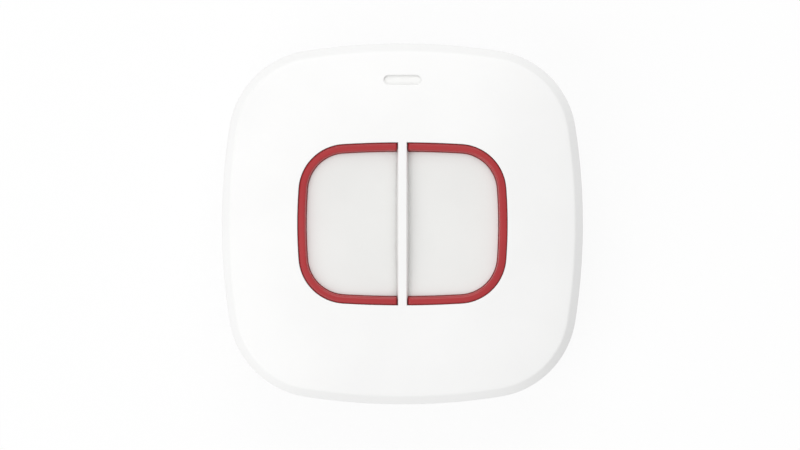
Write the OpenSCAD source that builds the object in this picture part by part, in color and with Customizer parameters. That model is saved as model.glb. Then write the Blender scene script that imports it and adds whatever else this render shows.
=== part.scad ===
// Wireless panic button for a wall: two press pads in a red bezel, split by a bridge.
// It lies on its back. +Z points out of the face, +Y to the top edge with the indicator,
// and the origin is in the middle of the plane that meets the wall. All sizes are millimetres.

/* [Body] */
// Width and height of the square body
body_w = 78; // [75:0.5:90]
// Radius of the bulge along each side of the body
side_r = 136; // [110:1:240]
// Radius of the body's corners
corner_r = 19.5; // [16:0.5:24]
// Rise of the domed face from its edge to its middle
crown = 3.4; // [2.4:0.1:4.4]
// How flat the dome is in its middle, 2 being an even curve
crown_power = 3; // [2:0.1:4]
// How square the dome's contour lines are, 2 being round
squareness = 3.4; // [2.4:0.1:5]
// Width of the bevel round the face, seen from the front
bevel_w = 1.75; // [1.2:0.05:2.4]
// Height of the bevel round the face
bevel_h = 2.4; // [1.6:0.1:3.2]
// Wall thickness of both covers
wall_t = 2; // [1.6:0.1:2.4]
// How far the front cover's side wall draws in from its widest line to the parting line
side_draft = 0.3; // [0.1:0.05:0.8]

/* [Rear cover] */
// Height of the parting line above the rear cover's floor
split_rise = 3.5; // [2.8:0.1:4.5]
// Step of the rear cover's rim inside the front cover's edge
reveal = 0.3; // [0.1:0.05:0.6]
// How far the rear cover tapers in from the parting line to its rim
rear_taper = 3.4; // [2:0.1:5]
// Radius of the rear cover's lower edge
rear_round = 1.4; // [0.8:0.1:2]
// Gap between the rear cover's rim and the wall
rear_lift = 0.5; // [0.3:0.1:0.9]
// Thickness of the rear cover's floor
floor_t = 1.8; // [1.4:0.1:2.4]
// Height of the lip that locates the front cover
lip_h = 1.5; // [1:0.1:2]
// Thickness of the lip
lip_t = 1.2; // [0.8:0.1:1.6]
// Gap between the lip and the front cover
lip_gap = 0.2; // [0.1:0.05:0.4]

/* [Wall bracket] */
// Width of the wall bracket
bracket_w = 44; // [40:0.5:46]
// Height of the wall bracket
bracket_h = 40; // [36:0.5:42]
// Thickness of the wall bracket
bracket_t = 2.4; // [2:0.1:3.2]
// Corner radius of the wall bracket
bracket_r = 4; // [2:0.5:6]
// How far the housing slides up to leave the bracket
slide_travel = 5; // [4:0.5:6]
// Running gap between the housing and the bracket
slide_gap = 0.3; // [0.2:0.05:0.5]
// Distance from the bracket's middle to a hook, across
hook_x = 17; // [16:0.5:18]
// Distance from the bracket's middle to a hook, up or down
hook_y = 12; // [11:0.5:13]
// Side of a hook's square stem
hook_stem = 3; // [2.4:0.1:3.6]
// Width of a hook's head
hook_head = 6; // [5:0.1:7]
// Thickness of a hook's head
hook_head_t = 1.2; // [0.8:0.1:1.6]
// Distance between the two wall screws
wall_screw_pitch = 26; // [22:0.5:30]
// Diameter of the wall screw holes
wall_screw_d = 4.4; // [3.6:0.1:5]
// Diameter of the countersink for a wall screw's head
wall_screw_sink_d = 7.6; // [6.6:0.1:8.6]

/* [Press pads] */
// Width of the opening in the face
pocket_w = 45.25; // [42:0.05:48]
// Height of the opening in the face
pocket_h = 35.05; // [33:0.05:38]
// Radius of the bulge on the left and right of the opening
pocket_side_r = 102; // [80:1:200]
// Radius of the bulge on the top and bottom of the opening
pocket_cap_r = 217; // [150:1:300]
// Corner radius of the opening
pocket_corner_r = 10.2; // [9:0.1:12]
// Thickness of the wall that hangs round the opening
skirt_t = 1.4; // [1.2:0.1:1.8]
// Visible width of the red bezel
bezel_w = 1.88; // [1.6:0.02:2.4]
// Gap between the bezel and the opening
bezel_gap = 0.06; // [0.04:0.01:0.2]
// How far the bezel lies under the face
bezel_drop = 0.4; // [0.2:0.05:0.7]
// Thickness of the bezel's lower wall, beside the pads' flanges
bezel_thin_t = 0.95; // [0.8:0.05:1.1]
// Thickness of the bezel's clamped flange
bezel_flange_t = 1.4; // [1.2:0.1:1.8]
// Width of the bezel's flange under the skirt
bezel_flange_w = 1.2; // [1:0.1:1.2]
// Gap between a pad and the bezel
key_gap = 0.1; // [0.05:0.05:0.35]
// Gap between the two pads, under the bridge
key_split = 0.5; // [0.3:0.1:0.8]
// Travel of a pad
key_travel = 1; // [0.6:0.1:1.4]
// Thickness of a pad's retaining flange
key_flange_t = 1.2; // [1:0.1:1.6]
// Thickness of a pad's roof in the middle
key_roof_t = 1.7; // [1.5:0.1:2.2]
// Thickness of a pad's rim
key_wall = 1.6; // [1.4:0.1:2]
// Depth of the pads below the dome in the middle of the face
pad_depth = 2.6; // [2.2:0.1:3]
// Rise of the dished pads towards their top and bottom ends
pad_dish = 0.7; // [0.3:0.05:0.8]
// Fall of the pads towards the left and right
pad_fall = 0.2; // [0:0.05:0.4]
// How far the pads fall away beside the bridge
pad_roll = 0.6; // [0.2:0.05:0.7]
// Distance over which most of that fall happens
pad_roll_w = 2; // [1.4:0.1:2.6]
// Edge radius of the pads
pad_edge = 0.15; // [0.1:0.05:0.4]
// Width of the bridge's top
bar_w = 1.8; // [1.6:0.1:2.4]
// Draft of the bridge's sides, in degrees
bar_draft = 10; // [8:1:16]
// Gap between the bridge and the pads under it
bar_clear = 0.4; // [0.3:0.05:0.6]

/* [Key mechanism] */
// Thickness of the key guide's plate
guide_t = 1.6; // [1.4:0.1:2]
// How far the key guide's plate reaches past the opening
guide_margin = 2.4; // [2:0.1:2.8]
// Gap between the switches and the key guide
guide_gap = 0.4; // [0.3:0.1:0.8]
// Depth of the return springs' cups under the key guide's plate
cup_depth = 1.3; // [1:0.1:1.5]
// Distance from a pad's middle to its return springs
spring_y = 9; // [7.5:0.5:10]
// Mean radius of a return spring
spring_r = 1.65; // [1.5:0.05:1.8]
// Wire diameter of a return spring
spring_wire = 0.4; // [0.3:0.05:0.45]
// Turns of a return spring
spring_turns = 4; // [3:0.5:4.5]
// Radius of a pad's guide posts
post_r = 1; // [0.8:0.05:1.05]
// Running gap of a guide post in its hole
post_gap = 0.12; // [0.08:0.02:0.2]
// Radius of a pad's stem, which presses its switch
stem_r = 2.2; // [1.8:0.1:2.6]
// Side of a switch's square body
switch_w = 6; // [5:0.1:6.6]
// Height of a switch's body
switch_h = 2.4; // [2.2:0.1:3]
// Radius of a switch's plunger
plunger_r = 1.6; // [1.2:0.1:1.8]

/* [Electronics] */
// Distance from the body's edge to the circuit board's edge
board_edge = 5.5; // [5:0.25:6]
// Leg of the board's cut corners
board_cut = 23; // [22.6:0.1:24]
// Thickness of the circuit board
board_t = 1.6; // [1.2:0.1:2]
// Diameter of the coin cell
cell_d = 24.5; // [20:0.5:24.5]
// Thickness of the coin cell
cell_h = 5; // [3.2:0.1:5.4]
// Room between the coin cell and the rear cover's floor
cell_gap = 0.8; // [0.7:0.1:1.4]
// Height of the cell's contact spring on the board
contact_h = 0.6; // [0.5:0.1:1]
// Length of the cell's contact spring
contact_l = 14; // [10:0.5:16]
// Width of the cell's contact spring
contact_w = 5; // [4:0.5:6]
// Thickness of the strap that holds the cell
clip_t = 0.4; // [0.3:0.05:0.5]
// Width of the strap that holds the cell
clip_w = 8; // [6:0.5:9]
// Length of the radio module
radio_w = 14; // [10:0.5:16]
// Height of the radio module, along the board
radio_l = 9; // [7:0.5:10]
// Thickness of the radio module
radio_t = 2.2; // [1.6:0.1:3]
// Length of the antenna coil
antenna_l = 10.5; // [9:0.5:11]
// Mean radius of the antenna coil
antenna_r = 2; // [1.5:0.1:2.2]
// Wire diameter of the antenna coil
antenna_wire = 0.6; // [0.5:0.05:0.7]
// Turns of the antenna coil
antenna_turns = 8; // [5:1:9]
// Room between the antenna coil and the key guide
antenna_gap = 0.8; // [0.5:0.1:1.5]

/* [Indicator] */
// Length of the indicator's slot in the face
slot_l = 8.1; // [6:0.1:9]
// Width of the indicator's slot
slot_w = 2.1; // [1.6:0.1:2.6]
// Distance from the body's top edge to the middle of the slot
slot_edge = 8; // [7.4:0.1:8.4]
// How far the light pipe lies under the face
slot_drop = 0.65; // [0.2:0.05:0.8]
// Gap between the light pipe and its slot
slot_gap = 0.06; // [0.04:0.01:0.2]
// Width of the light pipe's flange outside the slot
pipe_flange_w = 1.5; // [1.2:0.1:1.8]
// Thickness of the light pipe's flange
pipe_flange_t = 1.4; // [1:0.1:1.8]
// Height of the indicator lamp
led_h = 1.1; // [0.8:0.1:1.4]
// Gap between the indicator lamp and the light pipe
led_gap = 0.3; // [0.2:0.1:0.6]

/* [Tamper switch] */
// Distance from the middle of the body to the tamper plunger
tamper_y = 27.5; // [27:0.1:28]
// Radius of the tamper plunger
tamper_r = 1.5; // [1.2:0.1:1.7]
// Travel of the tamper plunger
tamper_travel = 1.2; // [0.8:0.1:1.4]
// Running gap of the tamper plunger in its tube
tamper_gap = 0.12; // [0.08:0.02:0.2]
// Thickness of the tamper switch
tamper_switch_t = 2.2; // [2:0.1:2.6]
// Wire diameter of the tamper spring
tamper_wire = 0.3; // [0.25:0.05:0.35]

/* [Fasteners] */
// Distance from the body's edges to a case screw
case_screw_edge = 14; // [13.8:0.1:14.4]
// Radius of the bosses for the case screws
case_boss_r = 3.2; // [2.8:0.1:3.4]
// Radius of a case screw's shank
case_screw_r = 1.3; // [1.1:0.05:1.4]
// Radius of a case screw's head
case_head_r = 2.4; // [2.1:0.1:2.5]
// Length of a case screw's shank
case_screw_l = 10; // [9:0.5:11]
// Room between the bezel's flange and the bosses for the board screws
board_boss_gap = 0.4; // [0.3:0.05:1]
// Distance from the middle to a board screw, up or down
board_screw_y = 9; // [8:0.5:10]
// Radius of a board screw's shank
board_screw_r = 1.1; // [0.9:0.05:1.2]
// Radius of a board screw's head
board_head_r = 2.1; // [1.9:0.1:2.3]
// Radius of the bosses for the board screws
board_boss_r = 2.6; // [2.4:0.1:2.8]
// Thickness of the screws' heads
screw_head_t = 1.4; // [1.2:0.1:1.6]
// Gap between a screw's shank and its hole
screw_gap = 0.06; // [0.04:0.01:0.1]

/* [Hidden] */
$fn = 64;

// Colours
WHITE = "#f4f4f2";
PAD_WHITE = "#e9e9e6";
RED = "#b3363d";
GREY = "#8d9094";
GREEN = "#1f5a3a";
STEEL = "#b9bcc0";
DARK = "#2b2d30";
GOLD = "#c9a457";
CLEAR = "#eef1f3";

// Points along a side and round a corner of every lofted outline
side_steps = 8;
corner_steps = 9;
// Points round each end of a slot
slot_steps = 10;
// Rings in one turn of a coil, and sides of its wire
coil_rings = 8;
coil_sides = 6;
// Room left past the end of a travel
stop_gap = 0.2;
// A cut runs this far past the face that it opens
over = 1;
// Pieces that merge reach this far into each other
weld = 0.2;

// Heights, from the wall upwards
z_recess = bracket_t + slide_gap;
z_floor = z_recess + floor_t;
z_tray = rear_lift + floor_t;
z_cell = z_floor + cell_gap;
z_cell_top = z_cell + cell_h;
z_board = z_cell_top + contact_h;
z_board_top = z_board + board_t;
z_switch_top = z_board_top + switch_h;
z_guide = z_switch_top + guide_gap;
z_guide_top = z_guide + guide_t;
z_skirt = z_guide_top + bezel_flange_t;
z_key = z_guide_top + key_travel;
z_step = z_key + key_flange_t;
z_pad = z_step + key_roof_t;
z_crown = z_pad + pad_depth;
z_face_edge = z_crown - crown;
z_bevel = z_face_edge - bevel_h;
z_split = z_floor + split_rise;
z_boss = z_split + lip_h;

// Places on the board and under the face, which follow the body's size
board_w = body_w - 2 * board_edge;
slot_y = body_w / 2 - slot_edge;
case_screw_xy = body_w / 2 - case_screw_edge;
board_screw_x = pocket_w / 2 + bezel_flange_w + board_boss_gap + board_boss_r;

// Outlines: half width, half height, side radius, cap radius, corner radius
body_outline = [body_w / 2, body_w / 2, side_r, side_r, corner_r];
pocket_outline = [pocket_w / 2, pocket_h / 2, pocket_side_r, pocket_cap_r, pocket_corner_r];

// Offsets inwards from the opening's outline
bezel_in = bezel_gap + bezel_w;
bezel_thin_in = bezel_gap + bezel_thin_t;
key_in = bezel_in + key_gap;
flange_in = bezel_thin_in + key_gap;
// A pad rests this far under the bezel's step
key_rest_gap = 0.05;

// The underside of each pad is a rounded hollow
hollow_x0 = key_split / 2 + key_wall;
hollow_x1 = pocket_w / 2 - key_in - key_wall;
hollow_h = pocket_h - 2 * (key_in + key_wall);
hollow_r = pocket_corner_r - key_in - key_wall + 1;
key_x = (hollow_x0 + hollow_x1) / 2;

// Return springs sit in cups of the key guide
switch_floor = 0.5;
cup_gap = 0.3;
cup_wall = 0.7;
cup_r = spring_r + spring_wire / 2 + cup_gap;
z_cup = z_guide - cup_depth;
z_cup_end = z_cup - cup_wall;
spring_seat_gap = 0.03;
z_post = z_cup_end - stop_gap;
z_plunger = z_switch_top + key_travel + stop_gap;

// The bracket hangs above the middle, so that the recess for it and its travel is centred
bracket_y = slide_travel / 2;
recess_w = bracket_w + 2 * slide_gap;
recess_h = bracket_h + slide_travel + 2 * slide_gap;
recess_r = bracket_r + slide_gap;
hook_gap = 0.25;

// Screw seats
case_seat = rear_lift + screw_head_t + 1.6;
case_tube_r = case_head_r + 1;
head_room = 0.25;
pierce_gap = 0.35;
pilot_spare = 0.6;

// Tamper stack
z_tamper_tip = 0.1;
z_tamper_tube = z_floor;
z_tamper_flange = z_tamper_tube + tamper_travel + stop_gap;
tamper_flange_t = 0.7;
tamper_flange_r = tamper_r + 1;
z_tamper_switch = z_board - tamper_switch_t;
tamper_roof = 0.4;
tamper_pin_r = 0.8;
tamper_spring_r = tamper_pin_r + 0.75;
tamper_switch_w = 6;
tamper_turns = 2;

// Light pipe
pipe_l = slot_l - 2 * slot_gap;
pipe_w = slot_w - 2 * slot_gap;
z_led_top = z_board_top + led_h;
z_pipe = z_led_top + led_gap;
socket_t = 1.5;
z_socket = dome([0, slot_y]) - wall_t - socket_t;

// Height of the domed face at a point of the plan
function dome(p) =
    let (reach = body_w / 2 - bevel_w)
    let (sum = pow(abs(p[0]) / reach, squareness) + pow(abs(p[1]) / reach, squareness))
    z_crown - crown * pow(sum, crown_power / squareness);

// Height of the dished pads at a point of the plan, falling away beside the bridge
function pad(p) =
    let (up = p[1] / (pocket_h / 2 - key_in), out = p[0] / (pocket_w / 2 - key_in))
    let (beside = max(abs(p[0]) - bar_w / 2, 0))
    z_pad + pad_dish * up * up - pad_fall * out * out - pad_roll * exp(-beside / pad_roll_w);

// Points of an arc, without its last one
function arc_points(c, r, a0, a1, n) =
    [for (i = [0 : n - 1]) let (a = a0 + (a1 - a0) * i / n) [c[0] + r * cos(a), c[1] + r * sin(a)]];

// A rectangle with bulged sides and round corners, drawn in by inset.
// Each corner arc is tangent to the two side arcs, so an inset only shortens the radii.
function bulged(o, inset = 0) =
    let (c1 = [o[0] - o[2], 0], c2 = [0, o[1] - o[3]])
    let (r1 = o[2] - o[4], r2 = o[3] - o[4])
    let (gap = norm(c2 - c1), e = (c2 - c1) / gap)
    let (along = (r1 * r1 - r2 * r2 + gap * gap) / (2 * gap))
    let (c = c1 + along * e + sqrt(r1 * r1 - along * along) * [-e[1], e[0]])
    let (t1 = atan2(c[1], c[0] - c1[0]), t2 = atan2(c[0], c[1] - c2[1]))
    [
        each arc_points(c1, o[2] - inset, -t1, t1, side_steps),
        each arc_points(c, o[4] - inset, t1, 90 - t2, corner_steps),
        each arc_points(c2, o[3] - inset, 90 - t2, 90 + t2, side_steps),
        each arc_points([-c[0], c[1]], o[4] - inset, 90 + t2, 180 - t1, corner_steps),
        each arc_points(-c1, o[2] - inset, 180 - t1, 180 + t1, side_steps),
        each arc_points(-c, o[4] - inset, 180 + t1, 270 - t2, corner_steps),
        each arc_points(-c2, o[3] - inset, 270 - t2, 270 + t2, side_steps),
        each arc_points([c[0], -c[1]], o[4] - inset, 270 + t2, 360 - t1, corner_steps)
    ];

// A plain rectangle with round corners, centred
function rounded(w, h, r) =
    [
        each arc_points([w / 2 - r, h / 2 - r], r, 0, 90, slot_steps), [w / 2 - r, h / 2],
        each arc_points([r - w / 2, h / 2 - r], r, 90, 180, slot_steps), [-w / 2, h / 2 - r],
        each arc_points([r - w / 2, r - h / 2], r, 180, 270, slot_steps), [r - w / 2, -h / 2],
        each arc_points([w / 2 - r, r - h / 2], r, 270, 360, slot_steps), [w / 2, r - h / 2]
    ];

// A slot with full round ends, centred
function slot(l, w) =
    [
        each arc_points([(l - w) / 2, 0], w / 2, -90, 90, slot_steps), [(l - w) / 2, w / 2],
        each arc_points([(w - l) / 2, 0], w / 2, 90, 270, slot_steps), [(w - l) / 2, -w / 2]
    ];

// Rings for a loft: a plan outline at one height, or laid on the dome or the pads
function level(ring, z) = [for (p = ring) [p[0], p[1], z]];
function on_dome(ring, drop = 0) = [for (p = ring) [p[0], p[1], dome(p) - drop]];
function on_pad(ring, drop = 0) = [for (p = ring) [p[0], p[1], pad(p) - drop]];
function between(a, b, t) = [for (i = [0 : len(a) - 1]) a[i] * (1 - t) + b[i] * t];
function mean(ring) = [for (p = ring) 1] * ring / len(ring);

// Skins a stack of rings, each counter-clockwise, from the lowest up.
// A tube joins its last ring to its first; otherwise both ends are closed.
module loft(rings, tube = false) {
    m = len(rings);
    n = len(rings[0]);
    low = m * n;
    skin = [
        for (i = [0 : tube ? m - 1 : m - 2], j = [0 : n - 1])
            let (k = (j + 1) % n, up = (i + 1) % m)
            each [[i * n + j, up * n + j, up * n + k], [i * n + j, up * n + k, i * n + k]]
    ];
    ends = tube ? [] : [
        for (j = [0 : n - 1])
            let (k = (j + 1) % n)
            each [[low, j, k], [low + 1, (m - 1) * n + k, (m - 1) * n + j]]
    ];
    points = [for (r = rings) each r];
    caps = tube ? [] : [mean(rings[0]), mean(rings[m - 1])];
    polyhedron(concat(points, caps), concat(skin, ends));
}

// Middle line of a coil that climbs from z0 to z1
function coil_path(r, z0, z1, turns) =
    let (n = turns * coil_rings)
    [for (i = [0 : n]) [r * cos(360 * turns * i / n), r * sin(360 * turns * i / n), z0 + (z1 - z0) * i / n]];

// Least gap between neighbouring turns of a coil, measured on the points of its middle line
function coil_gap(path, wire) =
    min([for (i = [0 : len(path) - 1 - coil_rings]) norm(path[i + coil_rings] - path[i])]) - wire;

// A coil of round wire that fills the height from z0 to z1
module coil(r, wire, z0, z1, turns) {
    path = coil_path(r, z0 + wire / 2, z1 - wire / 2, turns);
    rings = [
        for (i = [0 : len(path) - 1])
            let (a = 360 * i / coil_rings, p = path[i])
            [for (s = [0 : coil_sides - 1])
                let (b = 360 * s / coil_sides)
                p + wire / 2 * [cos(b) * cos(a), cos(b) * sin(a), sin(b)]]
    ];
    loft([for (r = rings) [for (i = [coil_sides - 1 : -1 : 0]) r[i]]]);
}

// Places children at the four corners of a rectangle
module at_corners(x, y) {
    for (sx = [-1, 1], sy = [-1, 1])
        translate([sx * x, sy * y, 0]) children();
}

// Lowest point of the dome over a round boss
function dome_over(x, y, r) =
    min([for (a = [0 : 30 : 330]) dome([abs(x) + r * cos(a), abs(y) + r * sin(a)])]);

// A boss that hangs from the dome and ends at height z
module hanging_boss(x, y, r, z) {
    top = dome_over(x, y, r) - wall_t / 4;
    translate([x, y, z]) cylinder(r = r, h = top - z);
}

// The bridge over the split between the pads: a drafted bar under the arch of the dome.
// Its ends sink into the wall round the opening. Grow adds a gap all round.
module bridge(grow = 0) {
    half_l = pocket_h / 2;
    sunk = skirt_t / 2;
    stations = [-half_l - sunk, for (i = [-6 : 6]) half_l * i / 6, half_l + sunk];
    last = len(stations) - 1;
    sections = [
        for (i = [0 : last])
            let (y = stations[i], inside = i > 0 && i < last)
            let (top = dome([0, y]) - (inside ? 0 : sunk) + grow)
            let (low = min(pad([0, y]) + bar_clear, top - sunk) - grow)
            let (wt = bar_w / 2 + grow, wb = wt + (dome([0, y]) - low) * tan(bar_draft))
            [[-wb, y, low], [wb, y, low], [wt, y, top], [-wt, y, top]]
    ];
    loft([for (s = sections) [for (i = [3 : -1 : 0]) s[i]]]);
}

// White front cover: domed face, bevel, side wall, and the wall that hangs round the opening
module front_cover_shell() {
    face = bulged(body_outline, bevel_w);
    pocket = bulged(pocket_outline);
    skirt = bulged(pocket_outline, -skirt_t);
    inner_face = bulged(body_outline, bevel_w + 0.6 * wall_t);
    rings = [
        level(bulged(body_outline, side_draft), z_split),
        level(bulged(body_outline), z_bevel),
        on_dome(face),
        for (t = [0.15, 0.35, 0.55, 0.78]) on_dome(between(face, pocket, t)),
        on_dome(pocket),
        level(pocket, z_skirt),
        level(skirt, z_skirt),
        on_dome(skirt, wall_t),
        for (t = [0.3, 0.6]) on_dome(between(skirt, inner_face, t), wall_t),
        on_dome(inner_face, wall_t),
        level(bulged(body_outline, wall_t), z_bevel - 0.4 * wall_t),
        level(bulged(body_outline, wall_t + side_draft), z_split)
    ];
    loft(rings, tube = true);
}

module front_cover() {
    color(WHITE) difference() {
        union() {
            front_cover_shell();
            bridge();
            for (sx = [-1, 1], sy = [-1, 1]) {
                hanging_boss(sx * case_screw_xy, sy * case_screw_xy, case_boss_r, z_boss);
                hanging_boss(sx * board_screw_x, sy * board_screw_y, board_boss_r, z_guide_top);
            }
            translate([0, slot_y, z_socket])
                linear_extrude(socket_t + wall_t / 2)
                    polygon(slot(slot_l + 2 * pipe_flange_w, slot_w + 2 * pipe_flange_w));
        }
        translate([0, slot_y, z_socket - over])
            linear_extrude(z_crown)
                polygon(slot(slot_l, slot_w));
        at_corners(case_screw_xy, case_screw_xy)
            translate([0, 0, z_boss - over])
                cylinder(r = case_screw_r + screw_gap, h = case_seat + case_screw_l + pilot_spare - z_boss + over);
        at_corners(board_screw_x, board_screw_y)
            translate([0, 0, z_guide_top - over])
                cylinder(r = board_screw_r + screw_gap, h = z_board_screw + pilot_spare / 2 - z_guide_top + over);
    }
}

// Board screws end just under the dome
z_board_screw = dome_over(board_screw_x, board_screw_y, board_screw_r) - wall_t / 2 - pilot_spare;

// White rear cover: a tray with a raised middle, whose underside is the recess for the bracket
module rear_cover_tray() {
    foot = side_draft + reveal + rear_taper;
    lip_in = wall_t + side_draft + lip_gap;
    rings = [
        level(bulged(body_outline, foot + rear_round), rear_lift),
        for (a = [30, 60])
            level(bulged(body_outline, foot + rear_round * (1 - sin(a))), rear_lift + rear_round * (1 - cos(a))),
        level(bulged(body_outline, foot), rear_lift + rear_round),
        level(bulged(body_outline, side_draft + reveal), z_split),
        level(bulged(body_outline, lip_in), z_split),
        level(bulged(body_outline, lip_in), z_split + lip_h),
        level(bulged(body_outline, lip_in + lip_t), z_split + lip_h),
        level(bulged(body_outline, foot + wall_t), z_tray)
    ];
    loft(rings);
}

module rear_cover() {
    color(WHITE) difference() {
        union() {
            rear_cover_tray();
            translate([0, 0, rear_lift])
                linear_extrude(z_floor - rear_lift)
                    polygon(rounded(recess_w + 2 * wall_t, recess_h + 2 * wall_t, recess_r + wall_t));
            at_corners(case_screw_xy, case_screw_xy)
                translate([0, 0, rear_lift]) cylinder(r = case_tube_r, h = z_boss - rear_lift);
            translate([0, tamper_y, rear_lift])
                cylinder(r = tamper_r + tamper_gap + wall_t / 2, h = z_tamper_tube - rear_lift);
        }
        translate([0, 0, rear_lift - over])
            linear_extrude(z_recess - rear_lift + over)
                polygon(rounded(recess_w, recess_h, recess_r));
        at_corners(hook_x, hook_y) hook_keyhole();
        at_corners(case_screw_xy, case_screw_xy) {
            translate([0, 0, rear_lift - over])
                cylinder(r = case_head_r + head_room, h = case_seat - rear_lift + over);
            cylinder(r = case_screw_r + pierce_gap, h = z_boss + over);
        }
        translate([0, tamper_y, 0]) cylinder(r = tamper_r + tamper_gap, h = z_tamper_tube + over);
    }
}

// Opening for one hook: narrow where the hook holds, wide where its head passes
module hook_keyhole() {
    narrow = hook_stem + 2 * hook_gap;
    wide = hook_head + 2 * hook_gap;
    translate([-narrow / 2, bracket_y - slide_travel - narrow / 2, z_recess - over])
        cube([narrow, slide_travel + narrow, floor_t + 2 * over]);
    translate([-wide / 2, bracket_y - slide_travel - narrow / 2, z_recess - over])
        cube([wide, narrow, floor_t + 2 * over]);
}

// White wall bracket: a plate with two wall screw holes and four hooks
module wall_bracket() {
    color(WHITE) translate([0, bracket_y, 0]) difference() {
        union() {
            linear_extrude(bracket_t) polygon(rounded(bracket_w, bracket_h, bracket_r));
            at_corners(hook_x, hook_y) {
                translate([-hook_stem / 2, -hook_stem / 2, bracket_t - weld])
                    cube([hook_stem, hook_stem, z_floor + hook_gap - bracket_t + 2 * weld]);
                translate([-hook_head / 2, -hook_stem / 2, z_floor + hook_gap])
                    cube([hook_head, hook_stem, hook_head_t]);
            }
        }
        for (s = [-1, 1]) translate([0, s * wall_screw_pitch / 2, 0]) {
            translate([0, 0, -over]) cylinder(d = wall_screw_d, h = bracket_t + 2 * over);
            sink = (wall_screw_sink_d - wall_screw_d) / 2;
            translate([0, 0, bracket_t - sink])
                cylinder(d1 = wall_screw_d, d2 = wall_screw_sink_d + 2 * weld, h = sink + weld);
        }
    }
}

// Red bezel: the band seen round the pads, a step that stops them, and a clamped flange
module red_bezel() {
    wall = bulged(pocket_outline, bezel_gap);
    flange = bulged(pocket_outline, -bezel_flange_w);
    inner = bulged(pocket_outline, bezel_in);
    thin = bulged(pocket_outline, bezel_thin_in);
    ease = 0.2;
    rings = [
        level(flange, z_guide_top),
        level(flange, z_skirt),
        level(wall, z_skirt),
        on_dome(wall, bezel_drop + ease),
        on_dome(bulged(pocket_outline, bezel_gap + ease), bezel_drop),
        on_dome(bulged(pocket_outline, bezel_in - ease), bezel_drop),
        on_dome(inner, bezel_drop + ease),
        level(inner, z_step),
        level(thin, z_step),
        level(thin, z_guide_top)
    ];
    color(RED) difference() {
        loft(rings, tube = true);
        bridge(bezel_gap);
    }
}

// Both pads as one dished block with a retaining flange, before the split
module pad_block() {
    flange = bulged(pocket_outline, flange_in);
    body = bulged(pocket_outline, key_in);
    edge = bulged(pocket_outline, key_in + pad_edge);
    // Rows of points draw in to a narrow strip under the bridge, and then to its middle
    strip_share = 0.05;
    strip = [for (p = edge) [strip_share * p[0], p[1]]];
    middle = [for (p = edge) [0, 0]];
    loft([
        level(flange, z_key),
        level(flange, z_step - key_rest_gap),
        level(body, z_step - key_rest_gap),
        on_pad(body, pad_edge),
        on_pad(bulged(pocket_outline, key_in + 0.3 * pad_edge), 0.3 * pad_edge),
        on_pad(edge),
        for (t = [0.3, 0.55, 0.72, 0.83, 0.91, 1]) on_pad(between(edge, strip, t)),
        for (t = [0.5, 0.85]) on_pad(between(strip, middle, t))
    ]);
}

// White press pad on the right: dished roof, rim, stem and two guide posts
module key() {
    color(PAD_WHITE) {
        difference() {
            intersection() {
                pad_block();
                translate([key_split / 2, -pocket_h / 2, z_key - over])
                    cube([pocket_w / 2, pocket_h, z_crown]);
            }
            translate([key_x, 0, z_key - over])
                linear_extrude(z_step - z_key + over)
                    polygon(rounded(hollow_x1 - hollow_x0, hollow_h, hollow_r));
        }
        translate([key_x, 0, z_plunger])
            cylinder(r = stem_r, h = z_step - z_plunger + weld);
        for (s = [-1, 1]) translate([key_x, s * spring_y, z_post])
            cylinder(r = post_r, h = z_step - z_post + weld);
    }
}

// Key guide: a plate that clamps the bezel, stops the pads and holds their springs
module key_guide() {
    color(GREY) difference() {
        union() {
            translate([0, 0, z_guide])
                linear_extrude(guide_t) polygon(bulged(pocket_outline, -guide_margin));
            for (sx = [-1, 1], sy = [-1, 1]) {
                translate([sx * key_x, sy * spring_y, z_cup_end])
                    cylinder(r = cup_r + cup_wall, h = z_guide - z_cup_end + weld);
                translate([sx * board_screw_x, sy * board_screw_y, z_board_top])
                    cylinder(r = board_boss_r, h = z_guide_top - z_board_top);
                translate([sx > 0 ? key_x : -board_screw_x, sy * board_screw_y - board_boss_r + weld, z_guide])
                    cube([board_screw_x - key_x, 2 * (board_boss_r - weld), guide_t]);
            }
        }
        for (sx = [-1, 1]) {
            translate([sx * key_x, 0, z_guide - over])
                cylinder(r = stem_r + 2 * key_gap, h = guide_t + 2 * over);
            for (sy = [-1, 1]) translate([sx * key_x, sy * spring_y, 0]) {
                translate([0, 0, z_cup]) cylinder(r = cup_r, h = z_guide_top - z_cup + over);
                translate([0, 0, z_cup_end - over]) cylinder(r = post_r + post_gap, h = cup_wall + 2 * over);
            }
        }
        at_corners(board_screw_x, board_screw_y)
            translate([0, 0, z_board_top - over])
                cylinder(r = board_screw_r + pierce_gap, h = z_guide_top - z_board_top + 2 * over);
    }
}

// Return springs of the right pad
module key_springs() {
    color(STEEL) for (s = [-1, 1]) translate([key_x, s * spring_y, 0])
        coil(spring_r, spring_wire, z_cup + spring_seat_gap, z_step - spring_seat_gap, spring_turns);
}

// Long-travel switch under the right pad, with a bore for its plunger
module switch_body() {
    color(DARK) difference() {
        translate([key_x - switch_w / 2, -switch_w / 2, z_board_top]) cube([switch_w, switch_w, switch_h]);
        translate([key_x, 0, z_board_top + switch_floor]) cylinder(r = plunger_r + post_gap, h = switch_h);
    }
}

module switch_plunger() {
    held = switch_h - switch_floor - key_travel - stop_gap;
    color(RED) translate([key_x, 0, z_switch_top - held])
        cylinder(r = plunger_r, h = z_plunger - z_switch_top + held);
}

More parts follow.
